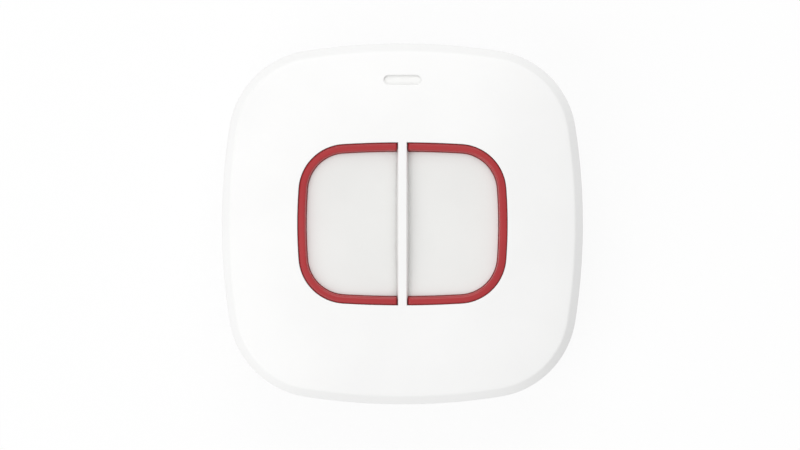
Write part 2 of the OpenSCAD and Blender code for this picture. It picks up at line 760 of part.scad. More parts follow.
// Circuit board with cut corners for the case bosses, and holes that the pads' posts dip into
module circuit_board() {
    h = board_w / 2;
    k = h - board_cut;
    color(GREEN) difference() {
        translate([0, 0, z_board]) linear_extrude(board_t)
            polygon([[h, -k], [h, k], [k, h], [-k, h], [-h, k], [-h, -k], [-k, -h], [k, -h]]);
        at_corners(board_screw_x, board_screw_y)
            translate([0, 0, z_board - over]) cylinder(r = board_screw_r + pierce_gap, h = board_t + 2 * over);
        at_corners(key_x, spring_y)
            translate([0, 0, z_board - over]) cylinder(r = post_r + pierce_gap, h = board_t + 2 * over);
    }
}

// Clear light pipe: its tip follows the face, and its flange seats under the socket
module light_pipe() {
    tip = [for (p = slot(pipe_l, pipe_w)) p + [0, slot_y]];
    color(CLEAR) {
        loft([level(tip, z_pipe), on_dome(tip, slot_drop)]);
        translate([0, slot_y, z_socket - pipe_flange_t])
            linear_extrude(pipe_flange_t)
                polygon(slot(slot_l + 2 * pipe_flange_w, slot_w + 2 * pipe_flange_w));
    }
}

module status_led() {
    led_w = 3.2;
    led_l = 1.6;
    color(CLEAR) translate([-led_w / 2, slot_y - led_l / 2, z_board_top]) cube([led_w, led_l, led_h]);
}

// Coin cell: a can with a rounded edge, and the smaller negative cap towards the board
module coin_cell() {
    cap_h = 0.6;
    edge = 0.5;
    r = cell_d / 2;
    color(STEEL) translate([0, 0, z_cell]) rotate_extrude()
        polygon([
            [0, 0], [r - edge, 0], [r, edge], [r, cell_h - cap_h - edge], [r - edge, cell_h - cap_h],
            [r - 3 * edge, cell_h - cap_h], [r - 3 * edge, cell_h], [0, cell_h]
        ]);
}

// Strap that holds the cell against the board and touches its positive can
module cell_clip() {
    gap = 0.2;
    foot_l = 3;
    leg = cell_d / 2 + gap;
    foot = leg + foot_l;
    low = z_cell - clip_t;
    color(STEEL) translate([0, clip_w / 2, 0]) rotate([90, 0, 0]) linear_extrude(clip_w)
        polygon([
            [-foot, z_board], [-foot, z_board - clip_t], [-leg - clip_t, z_board - clip_t], [-leg - clip_t, low],
            [leg + clip_t, low], [leg + clip_t, z_board - clip_t], [foot, z_board - clip_t], [foot, z_board],
            [leg, z_board], [leg, z_cell], [-leg, z_cell], [-leg, z_board]
        ]);
}

// Bowed leaf between the cell's negative cap and the board
module cell_contact() {
    reach = contact_l / 2;
    tab = reach / 7;
    t = clip_t / 2;
    color(GOLD) translate([0, contact_w / 2, 0]) rotate([90, 0, 0]) linear_extrude(contact_w)
        polygon([
            [-reach, z_board], [-reach, z_board - t], [-reach / 2, z_cell_top], [reach / 2, z_cell_top],
            [reach, z_board - t], [reach, z_board], [reach - tab, z_board], [reach / 2 - t, z_cell_top + t],
            [t - reach / 2, z_cell_top + t], [tab - reach, z_board]
        ]);
}

// Shielded radio module on the back of the board
module radio_module() {
    clear = 3;
    y = -(cell_d / 2 + radio_l / 2 + clear);
    color(STEEL) translate([0, y, z_board - radio_t]) linear_extrude(radio_t)
        polygon(rounded(radio_w, radio_l, 0.6));
}

// Antenna coil lying on the front of the board
module antenna_coil() {
    gap = 0.05;
    beside = 1.2;
    half = antenna_r + antenna_wire / 2;
    x = slot_l / 2 + pipe_flange_w + beside;
    y = pocket_h / 2 + guide_margin + antenna_gap + half;
    color(GOLD) translate([x, y, z_board_top + half + gap])
        rotate([0, 90, 0]) coil(antenna_r, antenna_wire, 0, antenna_l, antenna_turns);
}

// Tamper switch on the back of the board, above the plunger that feels the wall
module tamper_switch() {
    color(DARK) difference() {
        translate([-tamper_switch_w / 2, tamper_y - tamper_switch_w / 2, z_tamper_switch])
            cube([tamper_switch_w, tamper_switch_w, tamper_switch_t]);
        translate([0, tamper_y, z_tamper_switch - over])
            cylinder(r = tamper_pin_r + tamper_gap, h = tamper_switch_t - tamper_roof + over);
    }
}

module tamper_plunger() {
    pin_top = z_board - tamper_roof - stop_gap;
    color(DARK) translate([0, tamper_y, 0]) {
        translate([0, 0, z_tamper_tip]) cylinder(r = tamper_r, h = z_tamper_flange - z_tamper_tip + weld);
        translate([0, 0, z_tamper_flange]) cylinder(r = tamper_flange_r, h = tamper_flange_t);
        translate([0, 0, z_tamper_flange]) cylinder(r = tamper_pin_r, h = pin_top - z_tamper_flange);
    }
}

module tamper_spring() {
    color(STEEL) translate([0, tamper_y, 0])
        coil(tamper_spring_r, tamper_wire, z_tamper_flange + tamper_flange_t + spring_seat_gap,
            z_tamper_switch - spring_seat_gap, tamper_turns);
}

// Pan-head screw that points up, with a cross recess in its head
module screw(shank_r, head_r, length) {
    cross_w = 0.7;
    cross_l = 1.3 * head_r;
    difference() {
        union() {
            translate([0, 0, -weld]) cylinder(r = shank_r, h = length + weld);
            translate([0, 0, -screw_head_t]) cylinder(r = head_r, h = screw_head_t);
        }
        for (a = [0, 90]) rotate([0, 0, a])
            translate([-cross_l / 2, -cross_w / 2, -screw_head_t - over])
                cube([cross_l, cross_w, screw_head_t / 2 + over]);
    }
}

module case_screws() {
    color(STEEL) at_corners(case_screw_xy, case_screw_xy)
        translate([0, 0, case_seat]) screw(case_screw_r, case_head_r, case_screw_l);
}

module board_screws() {
    color(STEEL) at_corners(board_screw_x, board_screw_y)
        translate([0, 0, z_board]) screw(board_screw_r, board_head_r, z_board_screw - z_board);
}

echo(spring_gap = coil_gap(coil_path(spring_r, z_cup, z_step - spring_wire, spring_turns), spring_wire));
echo(tamper_turn_gap = coil_gap(
    coil_path(tamper_spring_r, z_tamper_flange + tamper_flange_t, z_tamper_switch - tamper_wire, tamper_turns),
    tamper_wire));
echo(antenna_turn_gap = coil_gap(coil_path(antenna_r, 0, antenna_l - antenna_wire, antenna_turns), antenna_wire));

wall_bracket();
rear_cover();
front_cover();
red_bezel();
rotate([0, 0, 180]) key();  // left_key
key();  // right_key
key_guide();
rotate([0, 0, 180]) key_springs();  // left_key_springs
key_springs();  // right_key_springs
rotate([0, 0, 180]) switch_body();  // left_switch_body
switch_body();  // right_switch_body
rotate([0, 0, 180]) switch_plunger();  // left_switch_plunger
switch_plunger();  // right_switch_plunger
circuit_board();
light_pipe();
status_led();
coin_cell();
cell_clip();
cell_contact();
radio_module();
antenna_coil();
tamper_switch();
tamper_plunger();
tamper_spring();
case_screws();
board_screws();
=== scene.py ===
"""Looks of a wall-mounted wireless panic button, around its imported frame.

The visible mouldings are surfaces worked out with numpy in millimetres and put into meshes in metres.
Plan outlines are bulged rectangles, and the face is a dome over that plan.
"""

import math

import bmesh
import bpy
import numpy as np
from mathutils.geometry import tessellate_polygon
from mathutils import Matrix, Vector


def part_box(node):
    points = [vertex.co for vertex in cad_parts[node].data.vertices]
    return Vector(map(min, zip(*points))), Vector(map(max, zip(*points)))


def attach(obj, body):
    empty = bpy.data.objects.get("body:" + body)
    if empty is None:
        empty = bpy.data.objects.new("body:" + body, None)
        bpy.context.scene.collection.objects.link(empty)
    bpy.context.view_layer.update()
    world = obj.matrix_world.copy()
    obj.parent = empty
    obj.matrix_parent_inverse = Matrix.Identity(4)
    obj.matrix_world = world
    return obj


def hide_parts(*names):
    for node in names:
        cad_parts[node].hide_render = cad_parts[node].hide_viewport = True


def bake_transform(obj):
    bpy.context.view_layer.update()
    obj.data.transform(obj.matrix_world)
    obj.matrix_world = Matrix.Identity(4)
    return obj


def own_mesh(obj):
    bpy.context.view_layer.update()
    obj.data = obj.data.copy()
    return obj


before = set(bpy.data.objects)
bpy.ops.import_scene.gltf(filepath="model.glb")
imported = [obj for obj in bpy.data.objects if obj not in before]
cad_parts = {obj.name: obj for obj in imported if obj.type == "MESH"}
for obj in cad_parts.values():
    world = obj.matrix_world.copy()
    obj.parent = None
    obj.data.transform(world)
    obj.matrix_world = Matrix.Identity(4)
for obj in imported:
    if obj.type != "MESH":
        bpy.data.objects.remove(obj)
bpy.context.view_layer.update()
MM = 0.001
QUARTER = math.pi / 2


def node_box(node):
    """Lowest and highest corner of a frame node, in millimetres."""
    return tuple(np.array(corner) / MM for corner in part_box(node))


# The photograph: its size, the body's width in it and where the body's middle lies, in pixels
PHOTO_W, PHOTO_H = 800, 450
BODY_PX = 361.2
BODY_MID_PX = (402.46, 223.87)

# Body and face, in millimetres as in the part's source
BODY_HALF = node_box("front_cover")[1][0]
SIDE_R, CORNER_R = 136.0, 19.5
CROWN, SQUARENESS, CROWN_POWER = 3.4, 3.4, 3.0
BEVEL_W, BEVEL_H = 1.75, 2.4
WALL, SIDE_DRAFT = 2.0, 0.3

# Opening, bridge and red band
POCKET_W, POCKET_H = 45.25, 35.05
POCKET_SIDE_R, POCKET_CAP_R, POCKET_CORNER_R = 102.0, 217.0, 10.2
SKIRT_T = 1.4
BAR_W, BAR_DRAFT, BAR_CLEAR = 1.8, math.radians(10), 0.4
BEZEL_W, BEZEL_GAP, BEZEL_DROP, BEZEL_THIN = 1.88, 0.06, 0.4, 0.95
BEZEL_FLANGE, BEZEL_FLANGE_T = 1.2, 1.4

# Pads
KEY_GAP, KEY_SPLIT, KEY_WALL, KEY_FLANGE_T, KEY_TRAVEL = 0.1, 0.5, 1.6, 1.2, 1.0
PAD_DEPTH, PAD_DISH, PAD_FALL = 2.6, 0.7, 0.2
PAD_ROLL, PAD_ROLL_W = 0.6, 2.0
STEM_R, POST_R, POST_Y, KEY_REST_GAP = 2.2, 1.0, 9.0, 0.05

# Indicator slot and light pipe
SLOT_L, SLOT_W, SLOT_Y, SLOT_DROP = 8.1, 2.1, 31.0, 0.65
PIPE_FLANGE_W, PIPE_FLANGE_T, SOCKET_T = 1.5, 1.4, 1.5

# Screws, with their wells, tubes and bosses
CASE_HEAD_R, CASE_WELL_R, CASE_BORE_R, CASE_TUBE_R, CASE_SEAT = 2.4, 2.65, 1.65, 3.2, 3.5
CASE_BOSS_R, CASE_PILOT_R = 3.2, 1.36
BOARD_HEAD_R, BOARD_BOSS_R, BOARD_PILOT_R = 2.1, 2.6, 1.16
PILOT_SPARE = 0.6

# Rear cover, wall bracket and tamper plunger
REVEAL, REAR_TAPER, REAR_ROUND, FLOOR_T = 0.3, 3.4, 1.4, 1.8
LIP_H, LIP_T, LIP_GAP = 1.5, 1.2, 0.2
BRACKET_T, BRACKET_R = 2.4, 4.0
SLIDE_TRAVEL, SLIDE_GAP = 5.0, 0.3
HOOK_X, HOOK_Y, HOOK_STEM = 17.0, 12.0, 3.0
HOOK_HEAD, HOOK_HEAD_T, HOOK_GAP = 6.0, 1.2, 0.25
WALL_SCREW_Y, WALL_SCREW_R, WALL_SCREW_SINK_R = 13.0, 2.2, 3.8
TAMPER_R, TAMPER_BORE_R, TAMPER_TUBE_R = 1.5, 1.62, 2.62
TAMPER_PIN_R, TAMPER_FLANGE_T = 0.8, 0.7

# Heights in millimetres, from the frame
Z_SPLIT, Z_CROWN = node_box("front_cover")[0][2], node_box("front_cover")[1][2]
Z_BEVEL = Z_CROWN - CROWN - BEVEL_H
Z_PAD = Z_CROWN - PAD_DEPTH
Z_GUIDE_TOP = node_box("key_guide")[1][2]
Z_SKIRT = Z_GUIDE_TOP + BEZEL_FLANGE_T
Z_KEY = Z_GUIDE_TOP + KEY_TRAVEL
Z_STEP = Z_KEY + KEY_FLANGE_T
Z_REAR = node_box("rear_cover")[0][2]
Z_TRAY = Z_REAR + FLOOR_T
Z_RECESS = BRACKET_T + SLIDE_GAP
Z_FLOOR = Z_RECESS + FLOOR_T
Z_LIP = Z_SPLIT + LIP_H

# Roundings of the scene's own in millimetres, how far it grows the pads into their gap, and the angle
# from which an edge stays crisp on a piece with flats
CREASE_R, SHOULDER_R, FOOT_R = 0.35, 0.55, 0.3
EDGE_R, REAR_EDGE_R, PAD_EDGE_R = 0.14, 0.25, 0.12
PAD_GROW = 0.06
SHARP_ANGLE = math.radians(40)

# How far the pads' source outline, flange and drawn top lie inside the opening
KEY_IN = BEZEL_GAP + BEZEL_W + KEY_GAP
FLANGE_IN = BEZEL_GAP + BEZEL_THIN + KEY_GAP
PAD_IN = KEY_IN - PAD_GROW

# The red band's notches under the bridge: how far they reach beside it, and the width of their edges
NOTCH_SPARE, NOTCH_EDGE = 0.34, 0.04
NOTCH_HALF = BAR_W / 2 + NOTCH_SPARE

# Outlines: half width, half height, then the radii of the side, cap and corner arcs
BODY = (BODY_HALF, BODY_HALF, SIDE_R, SIDE_R, CORNER_R)
POCKET = (POCKET_W / 2, POCKET_H / 2, POCKET_SIDE_R, POCKET_CAP_R, POCKET_CORNER_R)


# Shader nodes

def arithmetic(nodes, links, operation, first, second):
    """One step of arithmetic between two sockets, or a socket and a number."""
    step = nodes.new("ShaderNodeMath")
    step.operation = operation
    for socket, value in zip(step.inputs, (first, second)):
        if isinstance(value, bpy.types.NodeSocket):
            links.new(value, socket)
        else:
            socket.default_value = value
    return step.outputs[0]


def seen_directly(nodes, links):
    """1 for camera, mirror and glass rays, which show the white surroundings, and 0 for the rest."""
    rays = nodes.new("ShaderNodeLightPath")
    seen = arithmetic(nodes, links, "MAXIMUM", rays.outputs["Is Camera Ray"], rays.outputs["Is Glossy Ray"])
    return arithmetic(nodes, links, "MAXIMUM", seen, rays.outputs["Is Transmission Ray"])


def mixed(nodes, links, share, first, second, output):
    """Mixes two shaders by a share and gives the result to an output node."""
    mix = nodes.new("ShaderNodeMixShader")
    for socket, source in zip(mix.inputs, (share, first.outputs[0], second.outputs[0])):
        links.new(source, socket)
    links.new(mix.outputs[0], output.inputs["Surface"])


# Camera and stage

def add_camera():
    """Looks straight at the face, with the body as large and in the same place as in the photograph."""
    lens, sensor = 240.0, 36.0
    pitch = 2 * BODY_HALF / BODY_PX
    distance = PHOTO_W * pitch * lens / sensor
    data = bpy.data.cameras.new("camera")
    data.lens, data.sensor_width = lens, sensor
    data.clip_start, data.clip_end = 0.01, 20.0
    camera = bpy.data.objects.new("camera", data)
    camera.location = (
        (PHOTO_W / 2 - BODY_MID_PX[0]) * pitch * MM,
        (BODY_MID_PX[1] - PHOTO_H / 2) * pitch * MM,
        (Z_BEVEL + distance) * MM,
    )
    bpy.context.scene.collection.objects.link(camera)
    bpy.context.scene.camera = camera


def add_stage():
    """A pale floor that is white where the camera sees it and keeps a faint shadow of the part."""
    half, low = 3.0, -0.05 * MM
    grey, glow_strength, glow_share = 0.82, 1.02, 0.86
    mesh = bpy.data.meshes.new("floor")
    corners = [(x * half, y * half, low) for x, y in ((-1, -1), (1, -1), (1, 1), (-1, 1))]
    mesh.from_pydata(corners, [], [(0, 1, 2, 3)])
    floor = bpy.data.objects.new("floor", mesh)
    bpy.context.scene.collection.objects.link(floor)
    material = bpy.data.materials.new("studio_floor")
    material.use_nodes = True
    nodes, links = material.node_tree.nodes, material.node_tree.links
    nodes.clear()
    output = nodes.new("ShaderNodeOutputMaterial")
    diffuse = nodes.new("ShaderNodeBsdfDiffuse")
    diffuse.inputs["Color"].default_value = (grey, grey, grey, 1)
    glow = nodes.new("ShaderNodeEmission")
    glow.inputs["Color"].default_value = (1, 1, 1, 1)
    glow.inputs["Strength"].default_value = glow_strength
    share = arithmetic(nodes, links, "MULTIPLY", seen_directly(nodes, links), glow_share)
    mixed(nodes, links, share, diffuse, glow, output)
    mesh.materials.append(material)


def add_world():
    """Even white surroundings: white where seen, dimmer as a light."""
    light_strength, seen_strength = 0.78, 1.0
    world = bpy.data.worlds.new("studio")
    bpy.context.scene.world = world
    world.use_nodes = True
    nodes, links = world.node_tree.nodes, world.node_tree.links
    nodes.clear()
    output = nodes.new("ShaderNodeOutputWorld")
    light = nodes.new("ShaderNodeBackground")
    light.inputs["Strength"].default_value = light_strength
    seen = nodes.new("ShaderNodeBackground")
    seen.inputs["Strength"].default_value = seen_strength
    mixed(nodes, links, seen_directly(nodes, links), light, seen, output)


def add_softbox(name, bearing, height, watts, distance=0.9, size=0.75):
    """A square lamp that faces the part's middle, at a bearing from +X and a height angle in degrees."""
    data = bpy.data.lights.new(name, "AREA")
    data.shape, data.size, data.energy = "SQUARE", size, watts
    lamp = bpy.data.objects.new(name, data)
    turn, rise = math.radians(bearing), math.radians(height)
    reach = distance * math.cos(rise)
    lamp.location = (reach * math.cos(turn), reach * math.sin(turn), distance * math.sin(rise))
    lamp.rotation_euler = lamp.location.to_track_quat("Z", "Y").to_euler()
    bpy.context.scene.collection.objects.link(lamp)


# Outlines and rings, as arrays

def swept(centre, radius, t):
    """Points at the angles t round a centre, which may be one point or one for each angle."""
    return centre + radius * np.stack([np.cos(t), np.sin(t)], -1)


def circle(x, y, r, n=48):
    return swept((x, y), r, np.linspace(0, 4 * QUARTER, n, endpoint=False))


def arcs_of(outline):
    """Centres of the side, cap and corner arcs, and the half angles of the side and cap arcs."""
    a, b, rs, rc, r = outline
    side, cap = np.array([a - rs, 0.0]), np.array([0.0, b - rc])
    gap = np.hypot(*(cap - side))
    e = (cap - side) / gap
    along = ((rs - r) ** 2 - (rc - r) ** 2 + gap**2) / (2 * gap)
    across = math.sqrt((rs - r) ** 2 - along**2)
    corner = side + along * e + across * np.array([-e[1], e[0]])
    side_half = math.atan2(corner[1], corner[0] - side[0])
    cap_half = math.atan2(corner[0], corner[1] - cap[1])
    return side, cap, corner, side_half, cap_half


def bulged(outline, inset, columns):
    """A rectangle with bulged sides and round corners, drawn in by inset, counter-clockwise from the right.
    Each corner arc is tangent to its side and cap arcs, so an inset only shortens the radii.
    Columns are shares along a side, a corner and a cap."""
    _, _, rs, rc, r = outline
    t_side, t_corner, t_cap = columns
    side, cap, corner, a1, a2 = arcs_of(outline)
    turn = (QUARTER - a1 - a2) * t_corner
    mirror = np.array([-1, 1])
    arcs = [
        (side, rs, a1 * t_side),
        (corner, r, a1 + turn),
        (cap, rc, QUARTER + a2 * t_cap),
        (corner * mirror, r, QUARTER + a2 + turn),
        (-side, rs, 2 * QUARTER + a1 * t_side),
        (-corner, r, 2 * QUARTER + a1 + turn),
        (-cap, rc, 3 * QUARTER + a2 * t_cap),
        (-corner * mirror, r, 3 * QUARTER + a2 + turn),
    ]
    return np.concatenate([swept(centre, radius - inset, t) for centre, radius, t in arcs])


def stadium(length, width, n=48):
    """A slot outline with full round ends, from the middle of its right end, n steps to a quarter turn."""
    arcs = [
        np.linspace(0, QUARTER, n + 1),
        np.linspace(QUARTER, 3 * QUARTER, 2 * n + 1),
        np.linspace(3 * QUARTER, 4 * QUARTER, n + 1)[:-1],
    ]
    side = np.repeat([1, -1, 1], [len(arc) for arc in arcs])
    centres = np.stack([side * (length - width) / 2, 0 * side], -1)
    return swept(centres, width / 2, np.concatenate(arcs))


def rounded(w, h, r, n=14):
    """A rectangle with round corners, n steps to each, counter-clockwise from its right side."""
    t = np.concatenate([np.linspace(k * QUARTER, (k + 1) * QUARTER, n + 1) for k in range(4)])
    corner = np.repeat([[1, 1], [-1, 1], [-1, -1], [1, -1]], n + 1, axis=0)
    return swept(corner * [w / 2 - r, h / 2 - r], r, t)


def four_corners(x, y):
    return [(sx * x, sy * y) for sx in (-1, 1) for sy in (-1, 1)]


def spans(*knots):
    """Values from the first knot to the last, with the given count of steps between each two."""
    parts = [np.linspace(a, b, n + 1)[:-1] for a, n, b in zip(knots[0::2], knots[1::2], knots[2::2])]
    return np.concatenate(parts + [[knots[-1]]])


def dome(xy):
    """Height of the face: the crown's top less the crown times a power of a superelliptic radius."""
    reach = BODY_HALF - BEVEL_W
    radius = (np.abs(xy) / reach) ** SQUARENESS
    return Z_CROWN - CROWN * radius.sum(-1) ** (CROWN_POWER / SQUARENESS)


def pad(xy):
    """Height of the pads: a saddle, rising to the top and bottom and falling to the left and right,
    with a fall beside the bridge that dies away outwards."""
    up, out = xy[..., 1] / (POCKET_H / 2 - KEY_IN), xy[..., 0] / (POCKET_W / 2 - KEY_IN)
    beside = np.maximum(np.abs(xy[..., 0]) - BAR_W / 2, 0)
    return Z_PAD + PAD_DISH * up**2 - PAD_FALL * out**2 - PAD_ROLL * np.exp(-beside / PAD_ROLL_W)


def at_height(xy, z):
    """Plan points with a height, which may be one number or one for each point."""
    return np.concatenate([xy, np.broadcast_to(np.asarray(z, float)[..., None], xy.shape[:-1] + (1,))], -1)


def on_dome(xy, drop=0.0):
    return at_height(xy, dome(xy) - drop)


def rings(*levels):
    """Rows of a surface, each from a plan outline and its height."""
    return np.stack([at_height(outline, z) for outline, z in levels])


def toward(a, b, step):
    """The points a, moved a step towards b."""
    d = b - a
    return a + d * (step / np.linalg.norm(d, axis=-1, keepdims=True))


def eased(p0, p1, p2, n=5):
    """Rows of a quadratic curve from p0 to p2 that rounds off the edge at p1."""
    s = np.linspace(0, 1, n)[:, None, None]
    return (1 - s) ** 2 * p0 + 2 * s * (1 - s) * p1 + s**2 * p2


def blended(a, b, s):
    """Rows between two rings, one for each share in s."""
    s = np.asarray(s, float).reshape((-1,) + (1,) * a.ndim)
    return a * (1 - s) + b * s


def perimeter_share(loop):
    """Share of a closed loop's length at each of its points, from its first point."""
    steps = np.linalg.norm(np.roll(loop, -1, 0) - loop, axis=-1)
    return np.concatenate([[0], np.cumsum(steps)[:-1]]) / steps.sum()


def along_loop(loop, share):
    """Points of a closed loop at shares of its length."""
    closed = np.concatenate([loop, loop[:1]])
    at = np.concatenate([perimeter_share(loop), [1.0]])
    return np.stack([np.interp(share % 1.0, at, closed[:, i]) for i in range(2)], -1)


# Meshes

def grid_faces(rows, cols, wrap=False, hole=None):
    """Quads of a grid of points. Wrap joins the last column to the first, and hole leaves out a block."""
    columns = np.arange(cols if wrap else cols - 1)
    i, j = np.meshgrid(np.arange(rows - 1), columns, indexing="ij")
    if hole:
        i0, i1, j0, j1 = hole
        keep = ~((i >= i0) & (i < i1) & (j >= j0) & (j < j1))
        i, j = i[keep], j[keep]
    k = (j + 1) % cols
    return np.stack([i * cols + j, i * cols + k, (i + 1) * cols + k, (i + 1) * cols + j], -1).reshape(-1, 4)


def patch(points, wrap=False, hole=None):
    return points.reshape(-1, 3), grid_faces(*points.shape[:2], wrap, hole)


def flat(z, outline, *holes):
    """A level face inside an outline and outside its holes, cut into triangles between their points."""
    loops = [at_height(loop, z) for loop in (outline, *holes)]
    return np.concatenate(loops), np.array(tessellate_polygon([loop.tolist() for loop in loops]))


def turned(profile, x, y, n=48):
    """A profile of radii and heights turned about an upright axis."""
    profile = np.array(profile)
    return patch(at_height(profile[:, None, :1] * circle(0, 0, 1, n) + [x, y], profile[:, 1:]), True)


def new_piece(name, patches, material, body, node, flats=False):
    """One mesh from patches in millimetres, with shared borders welded and faces turned outwards.
    It rides on the body and stands for the node; a piece between two bodies is given none.
    Flats keeps corners crisp and large level faces level in their shading."""
    weld, sliver = 2e-6, 1e-7
    starts = np.cumsum([0] + [len(p) for p, _ in patches[:-1]])
    points = np.concatenate([p for p, _ in patches]) * MM
    faces = [face for (_, f), s in zip(patches, starts) for face in (f + s).tolist()]
    mesh = bpy.data.meshes.new(name)
    mesh.from_pydata(points.tolist(), [], faces)
    work = bmesh.new()
    work.from_mesh(mesh)
    bmesh.ops.remove_doubles(work, verts=work.verts, dist=weld)
    bmesh.ops.dissolve_degenerate(work, edges=work.edges, dist=sliver)
    bmesh.ops.recalc_face_normals(work, faces=work.faces)
    work.to_mesh(mesh)
    work.free()
    mesh.polygons.foreach_set("use_smooth", np.ones(len(mesh.polygons), bool))
    mesh.materials.append(material)
    piece = bpy.data.objects.new(name, mesh)
    bpy.context.scene.collection.objects.link(piece)
    if flats:
        mesh.set_sharp_from_angle(angle=SHARP_ANGLE)
        weighted = piece.modifiers.new("level_flats", "WEIGHTED_NORMAL")
        weighted.keep_sharp = True
    if body:
        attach(piece, body)
    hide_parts(node)
    return piece


# Front cover

def cover_columns():
    """Shares along the side, corner and cap arcs, with columns at the bridge's edges and round the slot.
    Marks are the first column of the upper cap, and the columns there that bound the slot and the bridge."""
    side_n, corner_n = 32, 20
    outer_n, slot_n, bridge_n = 12, 10, 6
    slot = 0.36
    _, _, _, _, cap_half = arcs_of(POCKET)
    bridge = math.asin((BAR_W / 2 - EDGE_R) / (POCKET_CAP_R + EDGE_R)) / cap_half
    side, corner = np.linspace(-1, 1, side_n + 1), np.linspace(0, 1, corner_n + 1)
    cap = spans(-1, outer_n, -slot, slot_n, -bridge, bridge_n, bridge, slot_n, slot, outer_n, 1)
    marks = {
        "cap": side_n + corner_n,
        "slot": (outer_n, outer_n + 2 * slot_n + bridge_n),
        "bridge": (outer_n + slot_n, outer_n + slot_n + bridge_n),
    }
    return (side[:-1], corner[:-1], cap[:-1]), marks


def slot_rings(face, hole, length, width, drop=0.0):
    """Rings from the border of a block cut from the face to the slot's outline, on the dome less drop.
    The outline is shared out as the border is, both from where they are level with the slot's middle."""
    i0, i1, j0, j1 = hole
    near, count = 1.0, 7
    sides = face[i1:i0:-1, j0], face[i0, j0:j1], face[i0:i1, j1], face[i1, j1:j0:-1]
    border = np.concatenate(sides)[:, :2]
    share = perimeter_share(border)
    on_right = border[:, 0] > border[:, 0].max() - near
    level = np.interp(SLOT_Y, border[on_right, 1], share[on_right])
    mouth = along_loop(stadium(length, width), share - level) + [0, SLOT_Y]
    return on_dome(blended(border, mouth, np.linspace(0, 1, count)), drop)


def front_cover():
    """The domed shell. Its rings run from the parting line up the drafted side, over the bevel and the face
    to the opening; the bridge is a strip of the same face that goes on across the opening."""
    columns, marks = cover_columns()
    body = lambda inset: bulged(BODY, inset, columns)
    pocket = lambda inset: bulged(POCKET, inset, columns)
    foot, foot_in = at_height(body(SIDE_DRAFT), Z_SPLIT), at_height(body(SIDE_DRAFT + FOOT_R), Z_SPLIT)
    widest, crease = at_height(body(0), Z_BEVEL), on_dome(body(BEVEL_W))
    face_out, face_in = body(BEVEL_W + CREASE_R), pocket(-EDGE_R)
    outside = np.concatenate([
        eased(foot_in, foot, toward(foot, widest, FOOT_R)),
        eased(toward(widest, foot, SHOULDER_R), widest, toward(widest, crease, SHOULDER_R)),
        eased(toward(crease, widest, CREASE_R), crease, on_dome(face_out)),
    ])

    # Face and its inner side, each with a block of cells left out round the slot
    above_n, block_n, below_n, block_half = 5, 6, 14, 2.3
    bend_in, bend_low = 0.6 * WALL, 0.4 * WALL
    top = face_out[:, 1].max()
    reach = top - face_in[:, 1].max()
    start, end = (top - SLOT_Y - block_half) / reach, (top - SLOT_Y + block_half) / reach
    shares = spans(0, above_n, start, block_n, end, below_n, 1)
    hole = (above_n, above_n + block_n, *[marks["cap"] + column for column in marks["slot"]])
    face = on_dome(blended(face_out, face_in, shares))
    inner = on_dome(blended(body(BEVEL_W + bend_in), pocket(-SKIRT_T), shares), WALL)

    # Slot for the light pipe, eased at its mouth and cut through the wall
    slot_top = slot_rings(face, hole, SLOT_L + 2 * EDGE_R, SLOT_W + 2 * EDGE_R)
    slot_low = slot_rings(inner, hole, SLOT_L, SLOT_W, WALL)
    mouth = slot_rings(face, hole, SLOT_L, SLOT_W)[-1]
    slot_wall = np.concatenate([eased(slot_top[-1], mouth, mouth - [0, 0, EDGE_R]), slot_low[-1:]])

    # Inside of the side wall, and the skirt round the opening
    wall_bend = at_height(body(WALL), Z_BEVEL - bend_low)
    inside = np.stack([inner[0], wall_bend, at_height(body(WALL + SIDE_DRAFT), Z_SPLIT), foot_in])
    skirt_in, skirt_out = at_height(pocket(0), Z_SKIRT), at_height(pocket(-SKIRT_T), Z_SKIRT)
    skirt = np.stack([skirt_in, skirt_out, inner[-1]])
    return [
        patch(face, True, hole), patch(inner, True, hole),
        *[patch(rows, True) for rows in (outside, inside, slot_top, slot_low, slot_wall, skirt)],
        *bridge_patches(face[-1], pocket(0), skirt_in, marks), *cover_bosses(),
    ]


